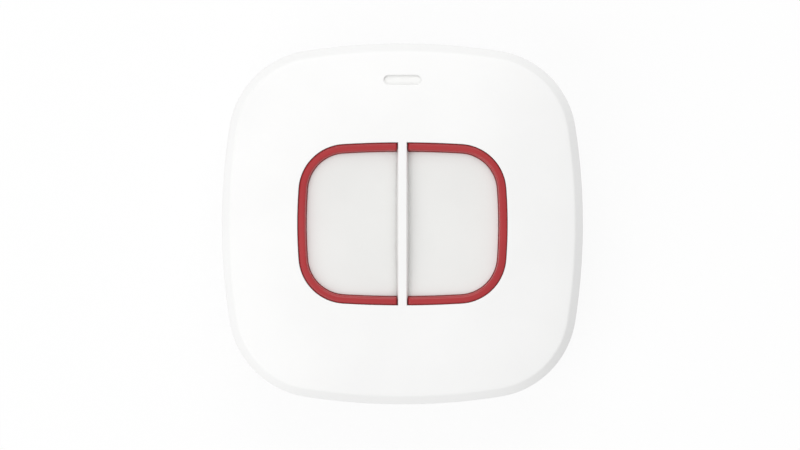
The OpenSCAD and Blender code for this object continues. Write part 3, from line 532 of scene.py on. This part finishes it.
def bridge_patches(rim, edge, skirt, marks):
    """The bridge and the walls of the two openings. Its top is the face's own dome between the same columns
    of the opening's upper and lower rim, and its sides fall with a draft to just over the pads."""
    count, (first, last) = len(rim), marks["bridge"]
    up0, up1 = marks["cap"] + first, marks["cap"] + last
    low0, low1 = up0 + count // 2, up1 + count // 2
    strip_n = 48
    shares = np.linspace(0, 1, strip_n + 1)
    strip = on_dome(blended(rim[up0:up1 + 1, :2], rim[low0:low1 + 1, :2][::-1], shares))
    patches, feet = [patch(strip)], []
    right = np.concatenate([np.arange(low1, count), np.arange(0, up0 + 1)])
    left = np.arange(up1, low0 + 1)
    for sign, column, ring, upper, lower in ((1, 0, right, -1, 0), (-1, -1, left, 0, -1)):
        lip = edge[ring].copy()
        lip[[0, -1], 0] = sign * BAR_W / 2
        wall = np.concatenate([eased(rim[ring], on_dome(lip), on_dome(lip, EDGE_R)), skirt[ring][None]])
        y = strip[:, column, 1].copy()
        y[[0, -1]] = lip[[upper, lower], 1]
        line = np.stack([np.full_like(y, sign * BAR_W / 2), y], -1)
        low = pad(line * [0, 1]) + BAR_CLEAR
        out = sign * (dome(line) - low) * math.tan(BAR_DRAFT)
        foot = at_height(line + np.stack([out, 0 * y], -1), low)
        side = np.concatenate([eased(strip[:, column], on_dome(line), on_dome(line, EDGE_R)), foot[None]])
        patches += [patch(wall), patch(side)]
        for end, at in ((0, ring[upper]), (-1, ring[lower])):
            gusset = np.array([[side[-2, end], foot[end]], [skirt[at], skirt[at]]])
            patches.append(patch(gusset))
        feet.append(foot)
    under = blended(*feet, np.linspace(0, 1, last - first + 1)).transpose(1, 0, 2)
    return patches + [
        patch(under),
        patch(np.stack([under[0], skirt[up0:up1 + 1]])),
        patch(np.stack([under[-1], skirt[low0:low1 + 1][::-1]])),
    ]


def cover_bosses():
    """Bosses for the screws under the face, and the collar that seats the light pipe. Each is a closed
    shell whose top lies inside the wall of the face."""
    e, collar_gap = 0.2, 0.02
    patches = []
    for node, head_r, r, pilot, low in (
        ("case_screws", CASE_HEAD_R, CASE_BOSS_R, CASE_PILOT_R, Z_LIP),
        ("board_screws", BOARD_HEAD_R, BOARD_BOSS_R, BOARD_PILOT_R, Z_GUIDE_TOP),
    ):
        _, high = node_box(node)
        x, y = high[:2] - head_r
        top, end = dome(circle(x, y, r)).min() - WALL / 4, high[2] + PILOT_SPARE / 2
        profile = [
            (0, end), (pilot, end), (pilot, low + e), (pilot + e, low),
            (r - e, low), (r, low + e), (r, top), (0, top),
        ]
        patches += [turned(profile, *at) for at in four_corners(x, y)]
    inner, outer, seat = pipe_outline(collar_gap), pipe_outline(PIPE_FLANGE_W), pipe_seat()
    low_in, low_out = at_height(inner, seat), at_height(outer, seat)
    collar = np.stack([low_in, low_out, on_dome(outer, WALL / 2), on_dome(inner, WALL / 2), low_in])
    return patches + [patch(collar, True)]


# Light pipe

def pipe_outline(grow):
    """The slot's outline at its place in the face, grown all round."""
    quarter_n = 24
    return stadium(SLOT_L + 2 * grow, SLOT_W + 2 * grow, quarter_n) + [0, SLOT_Y]


def pipe_seat():
    """Height of the collar's lower end, which the light pipe's flange meets."""
    return float(dome(np.array([0.0, SLOT_Y]))) - WALL - SOCKET_T


def light_pipe():
    """A milky bar in the slot: a slot outline carried up from its flange to a tip that follows the face."""
    ease, spine_share = 0.04, 0.6
    low, seat = node_box("light_pipe")[0][2], pipe_seat()
    bar, flange = pipe_outline(0), pipe_outline(PIPE_FLANGE_W)
    spine = bar * [spine_share, 0] + [0, SLOT_Y]
    tip, tip_in = on_dome(bar, SLOT_DROP), on_dome(pipe_outline(-ease), SLOT_DROP)
    rows = np.concatenate([
        rings((spine, low), (bar, low), (bar, seat - PIPE_FLANGE_T)),
        rings((flange, seat - PIPE_FLANGE_T), (flange, seat), (bar, seat)),
        eased(tip - [0, 0, ease], tip, tip_in),
        on_dome(spine, SLOT_DROP)[None],
    ])
    return [patch(rows, True)]


# Red band

def bezel_columns():
    """Columns of the band, doubled at the edges of its notches under the bridge."""
    side_n, corner_n, cap_n, notch_n = 40, 24, 26, 4
    _, _, _, _, cap_half = arcs_of(POCKET)
    inner, outer = (math.asin(x / POCKET_CAP_R) / cap_half for x in (NOTCH_HALF, NOTCH_HALF + NOTCH_EDGE))
    cap = spans(-1, cap_n, -outer, 1, -inner, notch_n, inner, 1, outer, cap_n, 1)
    return np.linspace(-1, 1, side_n + 1)[:-1], np.linspace(0, 1, corner_n + 1)[:-1], cap[:-1]


def bezel():
    """The red band: a profile of clamped flange, wall, eased top, leaning inner wall, stop step and thin
    wall carried round the opening. Its top follows the dome, and dips under the bridge."""
    ease, lean, foot_drop, notch_gap = 0.5, 0.35, 0.2, 0.15
    columns = bezel_columns()
    ring = lambda inset: bulged(POCKET, inset, columns)

    def top(inset, drop=0.0):
        xy = ring(inset)
        z = dome(xy) - BEZEL_DROP - drop
        under = pad(xy * [0, 1]) + BAR_CLEAR - notch_gap
        notched = (np.abs(xy[:, 0]) < NOTCH_HALF + NOTCH_EDGE / 4) & (np.abs(xy[:, 1]) > POCKET_H / 4)
        return at_height(xy, np.where(notched, np.minimum(z, under), z))

    outer, inner = BEZEL_GAP, BEZEL_GAP + BEZEL_W
    flange, thin = ring(-BEZEL_FLANGE), ring(BEZEL_GAP + BEZEL_THIN)
    edge_in, foot_in = top(inner - lean), at_height(ring(inner), pad(ring(inner)) - foot_drop)
    rows = np.concatenate([
        rings((flange, Z_GUIDE_TOP), (flange, Z_SKIRT), (ring(outer), Z_SKIRT)),
        eased(top(outer, ease), top(outer), top(outer + ease)),
        eased(top(inner - lean - ease), edge_in, toward(edge_in, foot_in, ease), n=7),
        foot_in[None],
        rings((ring(inner), Z_STEP), (thin, Z_STEP), (thin, Z_GUIDE_TOP), (flange, Z_GUIDE_TOP)),
    ])
    return [patch(rows, True)]


# Pads

def key_loop(inset):
    """Outline of the right pad, from the middle of its outer side: the opening's outline drawn in,
    closed by a straight edge beside the split."""
    side_n, corner_n, cap_n, split_n = 16, 24, 20, 40
    _, _, rs, rc, r = POCKET
    side, cap, corner, a1, a2 = arcs_of(POCKET)
    stop = math.acos(KEY_SPLIT / 2 / (rc - inset))
    upper = np.concatenate([
        swept(side, rs - inset, np.linspace(0, a1, side_n + 1)[:-1]),
        swept(corner, r - inset, np.linspace(a1, QUARTER - a2, corner_n + 1)[:-1]),
        swept(cap, rc - inset, np.linspace(QUARTER - a2, stop, cap_n + 1)),
    ])
    straight = np.linspace(upper[-1], upper[-1] * [1, -1], split_n + 1)[1:-1]
    return np.concatenate([upper, straight, upper[:0:-1] * [1, -1]])


def round_bar(x, y, r, z0, z1, ease=0.15):
    """A closed round bar along Z with eased ends: a profile turned about its axis."""
    return turned([(0, z0), (r - ease, z0), (r, z0 + ease), (r, z1 - ease), (r - ease, z1), (0, z1)], x, y)


def key(sign):
    """A pad: its outline carried from the flange over an eased edge to the dished top, with a hollow below,
    a stem for the switch and two guide posts. The left pad is the right one turned half a turn."""
    root, corner_spare = 0.3, 1.0
    hollow_n, top_n = 400, 21
    loop, rim, flange = key_loop(PAD_IN), key_loop(PAD_IN + PAD_EDGE_R), key_loop(FLANGE_IN)

    # Hollow: a rectangle with round corners, from the middle of its outer side as the pad's outline.
    # The cosines are rounded so that the quarter turns lie in the middle of the straight sides.
    x0, x1 = KEY_SPLIT / 2 + KEY_WALL, POCKET_W / 2 - KEY_IN - KEY_WALL
    middle = np.array([(x0 + x1) / 2, 0.0])
    half = np.array([(x1 - x0) / 2, POCKET_H / 2 - KEY_IN - KEY_WALL])
    radius = POCKET_CORNER_R - KEY_IN - KEY_WALL + corner_spare
    turn = circle(0, 0, 1, hollow_n)
    outline = middle + turn * radius + np.sign(np.round(turn, 9)) * (half - radius)
    hollow = along_loop(outline, perimeter_share(flange))

    on_pad = lambda xy, drop=0.0: at_height(xy, pad(xy) - drop)
    shrink = lambda ring, share: middle + (ring - middle) * share
    z_rim, z_ledge = Z_KEY + KEY_REST_GAP, Z_STEP - KEY_REST_GAP
    rows = np.concatenate([
        rings(*[(shrink(hollow, share), Z_STEP) for share in (0, 0.5, 1)]),
        rings((hollow, z_rim), (flange, z_rim), (flange, z_ledge), (loop, z_ledge)),
        eased(on_pad(loop, PAD_EDGE_R), on_pad(loop), on_pad(rim)),
        np.stack([on_pad(shrink(rim, share)) for share in np.linspace(1, 0, top_n + 1)[1:]]),
    ])
    z_post, z_stem = node_box("right_key")[0][2], node_box("right_switch_plunger")[1][2]
    patches = [
        patch(rows, True),
        round_bar(middle[0], 0, STEM_R, z_stem, Z_STEP + root),
        *[round_bar(middle[0], side * POST_Y, POST_R, z_post, Z_STEP + root) for side in (-1, 1)],
    ]
    return [(points * [sign, sign, 1], faces) for points, faces in patches]


# Rear cover, wall bracket and tamper plunger

def keyhole(x, y, grow):
    """Opening for one hook: narrow where the hook holds, wide where its head passes."""
    narrow, wide = HOOK_STEM / 2 + HOOK_GAP, HOOK_HEAD / 2 + HOOK_GAP
    low, high = -SLIDE_TRAVEL / 2 - narrow, SLIDE_TRAVEL / 2 + narrow
    neck = low + 2 * narrow
    n, w = narrow + grow, wide + grow
    return np.array([
        [-w, low - grow], [w, low - grow], [w, neck + grow], [n, neck + grow],
        [n, high + grow], [-n, high + grow], [-n, neck + grow], [-w, neck + grow],
    ]) + [x, y]


def rear_cover():
    """The tray that closes the case. Its rings run from the flat underside round the lower edge, up the
    tapered side, over the shelf and the lip and down to the tray's floor. A raised middle holds the recess
    for the bracket with its keyholes, and tubes hold the case screws and the tamper plunger."""
    e = REAR_EDGE_R
    side_n, corner_n, round_n = 48, 28, 8
    along_side = np.linspace(-1, 1, side_n + 1)[:-1]
    columns = along_side, np.linspace(0, 1, corner_n + 1)[:-1], along_side
    plan = lambda inset: bulged(BODY, inset, columns)
    foot, lip = SIDE_DRAFT + REVEAL + REAR_TAPER, WALL + SIDE_DRAFT + LIP_GAP
    lower = rings(*[
        (plan(foot + REAR_ROUND * (1 - math.sin(a))), Z_REAR + REAR_ROUND * (1 - math.cos(a)))
        for a in np.linspace(0, QUARTER, round_n + 1)
    ])
    rim, shelf, lip_out, lip_in, tray = rings(
        (plan(SIDE_DRAFT + REVEAL), Z_SPLIT), (plan(lip), Z_SPLIT), (plan(lip), Z_LIP),
        (plan(lip + LIP_T), Z_LIP), (plan(foot + WALL), Z_TRAY),
    )
    corner = lambda before, at, after: eased(toward(at, before, e), at, toward(at, after, e))
    skin = np.concatenate([
        lower, corner(lower[-1], rim, shelf), shelf[None],
        corner(shelf, lip_out, lip_in), corner(lip_out, lip_in, tray), tray[None],
    ])

    # Recess for the bracket and its travel, and the raised middle over it
    low, high = node_box("wall_bracket")
    width, height = high[:2] - low[:2] + 2 * SLIDE_GAP + [0, SLIDE_TRAVEL]
    recess = lambda grow: rounded(width + 2 * grow, height + 2 * grow, BRACKET_R + SLIDE_GAP + grow)
    keyholes = lambda grow: [keyhole(x, y, grow) for x, y in four_corners(HOOK_X, HOOK_Y)]
    mouth_out, mouth, mouth_in, recess_top = rings(
        (recess(e), Z_REAR), (recess(0), Z_REAR), (recess(0), Z_REAR + e), (recess(0), Z_RECESS),
    )
    recess_wall = np.concatenate([eased(mouth_out, mouth, mouth_in), recess_top[None]])
    block = rings((recess(WALL - e), Z_FLOOR), (recess(WALL), Z_FLOOR - e), (recess(WALL), Z_TRAY))
    keyhole_walls = [
        rings((wide, Z_RECESS), (hole, Z_RECESS + e), (hole, Z_FLOOR - e), (wide, Z_FLOOR))
        for wide, hole in zip(keyholes(e), keyholes(0))
    ]

    # Tubes for the case screws and the tamper plunger
    screws = four_corners(*(node_box("case_screws")[1][:2] - CASE_HEAD_R))
    tamper = sum(node_box("tamper_plunger"))[:2] / 2
    screw_tube = [
        (CASE_WELL_R + e, Z_REAR), (CASE_WELL_R, Z_REAR + e), (CASE_WELL_R, CASE_SEAT),
        (CASE_BORE_R, CASE_SEAT), (CASE_BORE_R, Z_LIP),
        (CASE_TUBE_R - e, Z_LIP), (CASE_TUBE_R, Z_LIP - e), (CASE_TUBE_R, Z_TRAY),
    ]
    tamper_tube = [
        (TAMPER_BORE_R + e, Z_REAR), (TAMPER_BORE_R, Z_REAR + e), (TAMPER_BORE_R, Z_FLOOR),
        (TAMPER_TUBE_R - e, Z_FLOOR), (TAMPER_TUBE_R, Z_FLOOR - e), (TAMPER_TUBE_R, Z_TRAY),
    ]
    holes = lambda screw_r, tamper_r: [circle(*at, screw_r) for at in screws] + [circle(*tamper, tamper_r)]
    return [
        *[patch(rows, True) for rows in (skin, recess_wall, block, *keyhole_walls)],
        *[turned(screw_tube, *at) for at in screws], turned(tamper_tube, *tamper),
        flat(Z_REAR, plan(foot + REAR_ROUND), recess(e), *holes(CASE_WELL_R + e, TAMPER_BORE_R + e)),
        flat(Z_RECESS, recess(0), *keyholes(e)),
        flat(Z_FLOOR, recess(WALL - e), *keyholes(e)),
        flat(Z_TRAY, plan(foot + WALL), recess(WALL), *holes(CASE_TUBE_R, TAMPER_TUBE_R)),
    ]


def wall_bracket():
    """The plate on the wall: a round-cornered outline carried over eased edges, two countersunk holes and
    four hooks, each a square stem that widens into a head."""
    e, taper = REAR_EDGE_R, 0.05
    low, high = node_box("wall_bracket")
    width, height, _ = high - low
    middle = (low + high)[1] / 2
    outline = lambda inset: rounded(width - 2 * inset, height - 2 * inset, BRACKET_R - inset) + [0, middle]
    edge = rings((outline(e), 0), (outline(0), e), (outline(0), BRACKET_T - e), (outline(e), BRACKET_T))
    sink = WALL_SCREW_SINK_R - WALL_SCREW_R
    hole = [(WALL_SCREW_R, 0), (WALL_SCREW_R, BRACKET_T - sink), (WALL_SCREW_SINK_R, BRACKET_T)]
    screws = [(0, middle + side * WALL_SCREW_Y) for side in (-1, 1)]
    hooks = [(x, middle + y) for x, y in four_corners(HOOK_X, HOOK_Y)]
    box = lambda at, x, y: np.array([[x, -y], [x, y], [-x, y], [-x, -y]]) + at
    stem, head = HOOK_STEM / 2, HOOK_HEAD / 2
    z_head = Z_FLOOR + HOOK_GAP
    z_top = z_head + HOOK_HEAD_T
    patches = [patch(edge, True), *[turned(hole, *at) for at in screws]]
    for at in hooks:
        head_side, head_top = box(at, head, stem), box(at, head - e, stem - e)
        hook = rings(
            (box(at, stem, stem), BRACKET_T), (box(at, stem - taper, stem - taper), z_head),
            (head_side, z_head), (head_side, z_top - e), (head_top, z_top),
        )
        patches += [patch(hook, True), flat(z_top, head_top)]
    holes = [circle(*at, WALL_SCREW_R) for at in screws]
    seats = [circle(*at, WALL_SCREW_SINK_R) for at in screws] + [box(at, stem, stem) for at in hooks]
    return patches + [flat(0, outline(e), *holes), flat(BRACKET_T, outline(e), *seats)]


def tamper_pin():
    """The tamper plunger: a profile of foot, flange and pin turned about its axis."""
    e = 0.15
    low, high = node_box("tamper_plunger")
    x, y, _ = (low + high) / 2
    bottom, tip = low[2], high[2]
    flange_r, top = (high[0] - low[0]) / 2, node_box("tamper_spring")[0][2]
    seat = top - TAMPER_FLANGE_T
    profile = [
        (0, bottom), (TAMPER_R - 2 * e, bottom), (TAMPER_R, bottom + 2 * e), (TAMPER_R, seat),
        (flange_r - e, seat), (flange_r, seat + e), (flange_r, top - e), (flange_r - e, top),
        (TAMPER_PIN_R, top), (TAMPER_PIN_R, tip - e), (TAMPER_PIN_R - e, tip), (0, tip),
    ]
    return [turned(profile, x, y)]


# Coils and screws

def coil(radius, wire, length, turns, step_n=20, side_n=10):
    """A wound coil about Z, from height 0 up: a round section carried along a helix, closed at its ends."""
    count = int(turns * step_n) + 1
    a = np.linspace(0, 4 * QUARTER * turns, count)[:, None]
    b = np.linspace(0, 4 * QUARTER, side_n, endpoint=False)[None]
    z = np.linspace(wire / 2, length - wire / 2, count)[:, None]
    out = radius + wire / 2 * np.cos(b)
    tube = np.stack([out * np.cos(a), out * np.sin(a), z + wire / 2 * np.sin(b)], -1)
    ends = tube[[0, -1]].mean(1, keepdims=True) + np.zeros((2, side_n, 3))
    return patch(np.concatenate([ends[:1], tube, ends[1:]]), True)


def add_pad_springs(steel):
    """Return springs of the pads, which shorten by the pads' travel."""
    wire, turns = 0.4, 4
    for name in ("right", "left"):
        node = name + "_key_springs"
        low, high = node_box(node)
        middle, radius, length = (low + high) / 2, (high[0] - low[0] - wire) / 2, high[2] - low[2]
        reach = (high[1] - low[1] - wire) / 2 - radius
        points, faces = coil(radius, wire, length, turns)
        pair = [(points + [middle[0], y, low[2]], faces) for y in (-reach, reach)]
        piece = new_piece(name + "_springs", pair, steel, "housing", node)
        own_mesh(piece)


def add_tamper_spring(steel):
    """Spring between the tamper switch and its plunger, which lengthens as the plunger comes out."""
    wire, turns = 0.3, 2
    low, high = node_box("tamper_spring")
    x, y, _ = (low + high) / 2
    points, faces = coil((high[0] - low[0] - wire) / 2, wire, high[2] - low[2], turns)
    placed = [(points + [x, y, low[2]], faces)]
    piece = new_piece("tamper_coil", placed, steel, None, "tamper_spring")
    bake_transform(piece)


def add_antenna(brass):
    """The antenna coil, wound along X on the front of the board."""
    wire, turns = 0.6, 8
    low, high = node_box("antenna_coil")
    _, y, z = (low + high) / 2
    points, faces = coil((high[1] - low[1] - wire) / 2, wire, high[0] - low[0], turns)
    placed = [(points[:, [2, 1, 0]] * [1, 1, -1] + [low[0], y, z], faces)]
    new_piece("antenna", placed, brass, "housing", "antenna_coil")


def add_case_screws(steel):
    """The case screws: their frame mesh, welded, with its flats merged and its sharp edges rounded off."""
    node, name, ease = "case_screws", "case_screws_eased", 0.25 * MM
    weld, merge_angle, sharp_angle, round_angle = 1e-6, math.radians(0.4), math.radians(28), math.radians(35)
    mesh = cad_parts[node].data.copy()
    mesh.name = name
    work = bmesh.new()
    work.from_mesh(mesh)
    bmesh.ops.remove_doubles(work, verts=work.verts, dist=weld)
    bmesh.ops.dissolve_limit(work, angle_limit=merge_angle, verts=work.verts, edges=work.edges)
    work.to_mesh(mesh)
    work.free()
    mesh.polygons.foreach_set("use_smooth", np.ones(len(mesh.polygons), bool))
    mesh.set_sharp_from_angle(angle=sharp_angle)
    mesh.materials.clear()
    mesh.materials.append(steel)
    piece = bpy.data.objects.new(name, mesh)
    bpy.context.scene.collection.objects.link(piece)
    bevel = piece.modifiers.new("rounded_edges", "BEVEL")
    bevel.width, bevel.segments = ease, 2
    bevel.limit_method, bevel.angle_limit = "ANGLE", round_angle
    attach(piece, "housing")
    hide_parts(node)


# Finishes

# Each row: name, scale of the relief, least and most roughness, darkest and lightest colour,
# and the relief's strength and depth in millimetres
PLASTICS = {
    "cover": ("white_abs", 2600.0, (0.4, 0.5), (0.905, 0.905, 0.9), (0.93, 0.93, 0.925), 0.06, 0.03),
    "pad": ("pad_abs", 2200.0, (0.44, 0.56), (0.805, 0.805, 0.79), (0.835, 0.835, 0.82), 0.07, 0.03),
    "red": ("red_abs", 3200.0, (0.3, 0.42), (0.38, 0.019, 0.024), (0.43, 0.026, 0.031), 0.05, 0.02),
    "grey": ("grey_nylon", 2000.0, (0.45, 0.6), (0.2, 0.205, 0.21), (0.26, 0.265, 0.27), 0.12, 0.03),
    "dark": ("black_nylon", 2400.0, (0.35, 0.5), (0.018, 0.018, 0.02), (0.03, 0.03, 0.033), 0.12, 0.03),
    "milky": ("milky_pipe", 1800.0, (0.25, 0.35), (0.88, 0.88, 0.87), (0.92, 0.92, 0.91), 0.03, 0.02),
    "board": ("solder_mask", 4200.0, (0.28, 0.4), (0.012, 0.075, 0.035), (0.018, 0.095, 0.045), 0.15, 0.02),
}
METALS = {
    "steel": ("bright_steel", 900.0, (0.2, 0.42), (0.5, 0.5, 0.51), (0.66, 0.66, 0.66), 0.12, 0.02),
    "nickel": ("nickel_plate", 600.0, (0.16, 0.34), (0.58, 0.57, 0.55), (0.7, 0.69, 0.66), 0.1, 0.02),
    "brass": ("plated_brass", 700.0, (0.2, 0.4), (0.6, 0.42, 0.16), (0.76, 0.56, 0.24), 0.1, 0.02),
}
NODE_FINISH = {
    "key_guide": "grey", "left_switch_body": "dark", "right_switch_body": "dark",
    "left_switch_plunger": "red", "right_switch_plunger": "red", "circuit_board": "board",
    "status_led": "milky", "coin_cell": "nickel", "cell_clip": "nickel", "cell_contact": "brass",
    "radio_module": "nickel", "tamper_switch": "dark", "board_screws": "steel",
}


def finish_group(name, relief, detail, roughness, stretch, patch_scale, patch_detail, polish):
    """A shared finish: a fine relief, stretched along the axes, and broad patches that set tone and gloss.
    Relief names the input for its scale, and polish is the range of the patches that the gloss spans."""
    group = bpy.data.node_groups.new(name, "ShaderNodeTree")
    ways = {"INPUT": (relief, "Rough Low", "Rough High"), "OUTPUT": ("Tone", "Roughness", "Height")}
    for way, sockets in ways.items():
        for socket in sockets:
            group.interface.new_socket(name=socket, in_out=way, socket_type="NodeSocketFloat")
    nodes, links = group.nodes, group.links
    put, out = nodes.new("NodeGroupInput"), nodes.new("NodeGroupOutput")
    coords = nodes.new("ShaderNodeTexCoord")
    stretched = nodes.new("ShaderNodeMapping")
    stretched.inputs["Scale"].default_value = stretch
    fine = nodes.new("ShaderNodeTexNoise")
    fine.inputs["Detail"].default_value = detail
    fine.inputs["Roughness"].default_value = roughness
    broad = nodes.new("ShaderNodeTexNoise")
    broad.inputs["Scale"].default_value = patch_scale
    broad.inputs["Detail"].default_value = patch_detail
    gloss = nodes.new("ShaderNodeMapRange")
    gloss.inputs["From Min"].default_value, gloss.inputs["From Max"].default_value = polish
    links.new(coords.outputs["Object"], stretched.inputs["Vector"])
    links.new(coords.outputs["Object"], broad.inputs["Vector"])
    links.new(stretched.outputs["Vector"], fine.inputs["Vector"])
    links.new(put.outputs[relief], fine.inputs["Scale"])
    links.new(broad.outputs["Fac"], gloss.inputs["Value"])
    links.new(put.outputs["Rough Low"], gloss.inputs["To Min"])
    links.new(put.outputs["Rough High"], gloss.inputs["To Max"])
    links.new(broad.outputs["Fac"], out.inputs["Tone"])
    links.new(gloss.outputs["Result"], out.inputs["Roughness"])
    links.new(fine.outputs["Fac"], out.inputs["Height"])
    return group


def finished(group, metallic, name, scale, rough, dark, light, bump, depth):
    """A material whose colour runs from dark to light with the group's tone."""
    tone_range = (0.3, 0.7)
    material = bpy.data.materials.new(name)
    material.use_nodes = True
    nodes, links = material.node_tree.nodes, material.node_tree.links
    shader = nodes["Principled BSDF"]
    shader.inputs["Metallic"].default_value = metallic
    finish = nodes.new("ShaderNodeGroup")
    finish.node_tree = group
    for socket, value in zip(finish.inputs, (scale, *rough)):
        socket.default_value = value
    ramp = nodes.new("ShaderNodeValToRGB")
    for element, position, colour in zip(ramp.color_ramp.elements, tone_range, (dark, light)):
        element.position, element.color = position, (*colour, 1)
    relief = nodes.new("ShaderNodeBump")
    relief.inputs["Strength"].default_value = bump
    relief.inputs["Distance"].default_value = depth * MM
    links.new(finish.outputs["Tone"], ramp.inputs["Fac"])
    links.new(ramp.outputs["Color"], shader.inputs["Base Color"])
    links.new(finish.outputs["Roughness"], shader.inputs["Roughness"])
    links.new(finish.outputs["Height"], relief.inputs["Height"])
    links.new(relief.outputs["Normal"], shader.inputs["Normal"])
    return material


def overlaid(nodes, links, shader, mask, colour):
    """Lays a colour over the shader's base colour where the mask is 1."""
    mix = nodes.new("ShaderNodeMix")
    mix.data_type = "RGBA"
    mix.inputs["B"].default_value = (*colour, 1)
    links.new(mask, mix.inputs["Factor"])
    links.new(shader.inputs["Base Color"].links[0].from_socket, mix.inputs["A"])
    links.new(mix.outputs["Result"], shader.inputs["Base Color"])


def print_board(material):
    """Prints the board's green mask. Parallel tracks show through it, along X or Y from area to area, with
    areas of plain mask between them, and tinned vias are dotted over it. Its edges are bare laminate."""
    pitch, track, via = 1.1 * MM, 0.3 * MM, 0.09
    areas_per_m, vias_per_m, plain_share, half = 95.0, 230.0, 0.35, 0.5
    track_green, tin, laminate = (0.035, 0.17, 0.075), (0.55, 0.53, 0.48), (0.3, 0.32, 0.14)
    nodes, links = material.node_tree.nodes, material.node_tree.links
    shader = nodes["Principled BSDF"]
    step = lambda operation, first, second: arithmetic(nodes, links, operation, first, second)
    coords = nodes.new("ShaderNodeTexCoord")
    place, facing = nodes.new("ShaderNodeSeparateXYZ"), nodes.new("ShaderNodeSeparateXYZ")
    areas, dots = nodes.new("ShaderNodeTexVoronoi"), nodes.new("ShaderNodeTexVoronoi")
    areas.distance = "CHEBYCHEV"
    for cells, scale in ((areas, areas_per_m), (dots, vias_per_m)):
        cells.voronoi_dimensions = "2D"
        cells.inputs["Scale"].default_value = scale
        links.new(coords.outputs["Object"], cells.inputs["Vector"])
    chance = nodes.new("ShaderNodeSeparateColor")
    links.new(coords.outputs["Object"], place.inputs[0])
    links.new(coords.outputs["Normal"], facing.inputs[0])
    links.new(areas.outputs["Color"], chance.inputs[0])
    along_y, along_x = (
        step("LESS_THAN", step("PINGPONG", place.outputs[axis], pitch / 2), track / 2) for axis in "XY"
    )
    level = step("GREATER_THAN", step("ABSOLUTE", facing.outputs["Z"], 0.0), half)
    way = step("GREATER_THAN", chance.outputs["Red"], half)
    lines_x = step("MULTIPLY", along_x, way)
    lines_y = step("MULTIPLY", along_y, step("SUBTRACT", 1.0, way))
    shown = step("GREATER_THAN", chance.outputs["Green"], plain_share)
    tracks = step("MULTIPLY", step("ADD", lines_x, lines_y), shown)
    vias = step("MULTIPLY", level, step("LESS_THAN", dots.outputs["Distance"], via))
    overlaid(nodes, links, shader, tracks, track_green)
    overlaid(nodes, links, shader, vias, tin)
    overlaid(nodes, links, shader, step("SUBTRACT", 1.0, level), laminate)
    links.new(vias, shader.inputs["Metallic"])


def make_finishes():
    moulded = finish_group(
        "moulded_finish", relief="Grain", detail=3.0, roughness=0.6, stretch=(1, 1, 1),
        patch_scale=55.0, patch_detail=4.0, polish=(0.35, 0.65),
    )
    drawn = finish_group(
        "drawn_finish", relief="Streak", detail=4.0, roughness=0.5, stretch=(1, 12, 4),
        patch_scale=380.0, patch_detail=5.0, polish=(0.3, 0.7),
    )
    finishes = {finish: finished(moulded, 0.0, *row) for finish, row in PLASTICS.items()}
    finishes.update({finish: finished(drawn, 1.0, *row) for finish, row in METALS.items()})
    print_board(finishes["board"])
    return finishes


def dress_nodes(finishes):
    """Gives the frame's own meshes their finishes."""
    for node, finish in NODE_FINISH.items():
        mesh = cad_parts[node].data
        mesh.materials.clear()
        mesh.materials.append(finishes[finish])


add_camera()
add_stage()
add_world()
add_softbox("left_softbox", bearing=225, height=42, watts=2.84)
add_softbox("top_softbox", bearing=90, height=42, watts=3.0)

finishes = make_finishes()
white, grey_white, black = finishes["cover"], finishes["pad"], finishes["dark"]
dress_nodes(finishes)
new_piece("front_shell", front_cover(), white, "housing", "front_cover")
new_piece("red_band", bezel(), finishes["red"], "housing", "red_bezel")
new_piece("right_pad_key", key(1), grey_white, "right_pad", "right_key")
new_piece("left_pad_key", key(-1), grey_white, "left_pad", "left_key")
new_piece("indicator_pipe", light_pipe(), finishes["milky"], "housing", "light_pipe")
new_piece("rear_shell", rear_cover(), white, "housing", "rear_cover", flats=True)
new_piece("bracket_plate", wall_bracket(), white, "bracket", "wall_bracket", flats=True)
new_piece("tamper_pin", tamper_pin(), black, "tamper", "tamper_plunger", flats=True)
add_case_screws(finishes["steel"])
add_pad_springs(finishes["steel"])
add_tamper_spring(finishes["steel"])
add_antenna(finishes["brass"])
bpy.context.scene.view_settings.view_transform = "Standard"
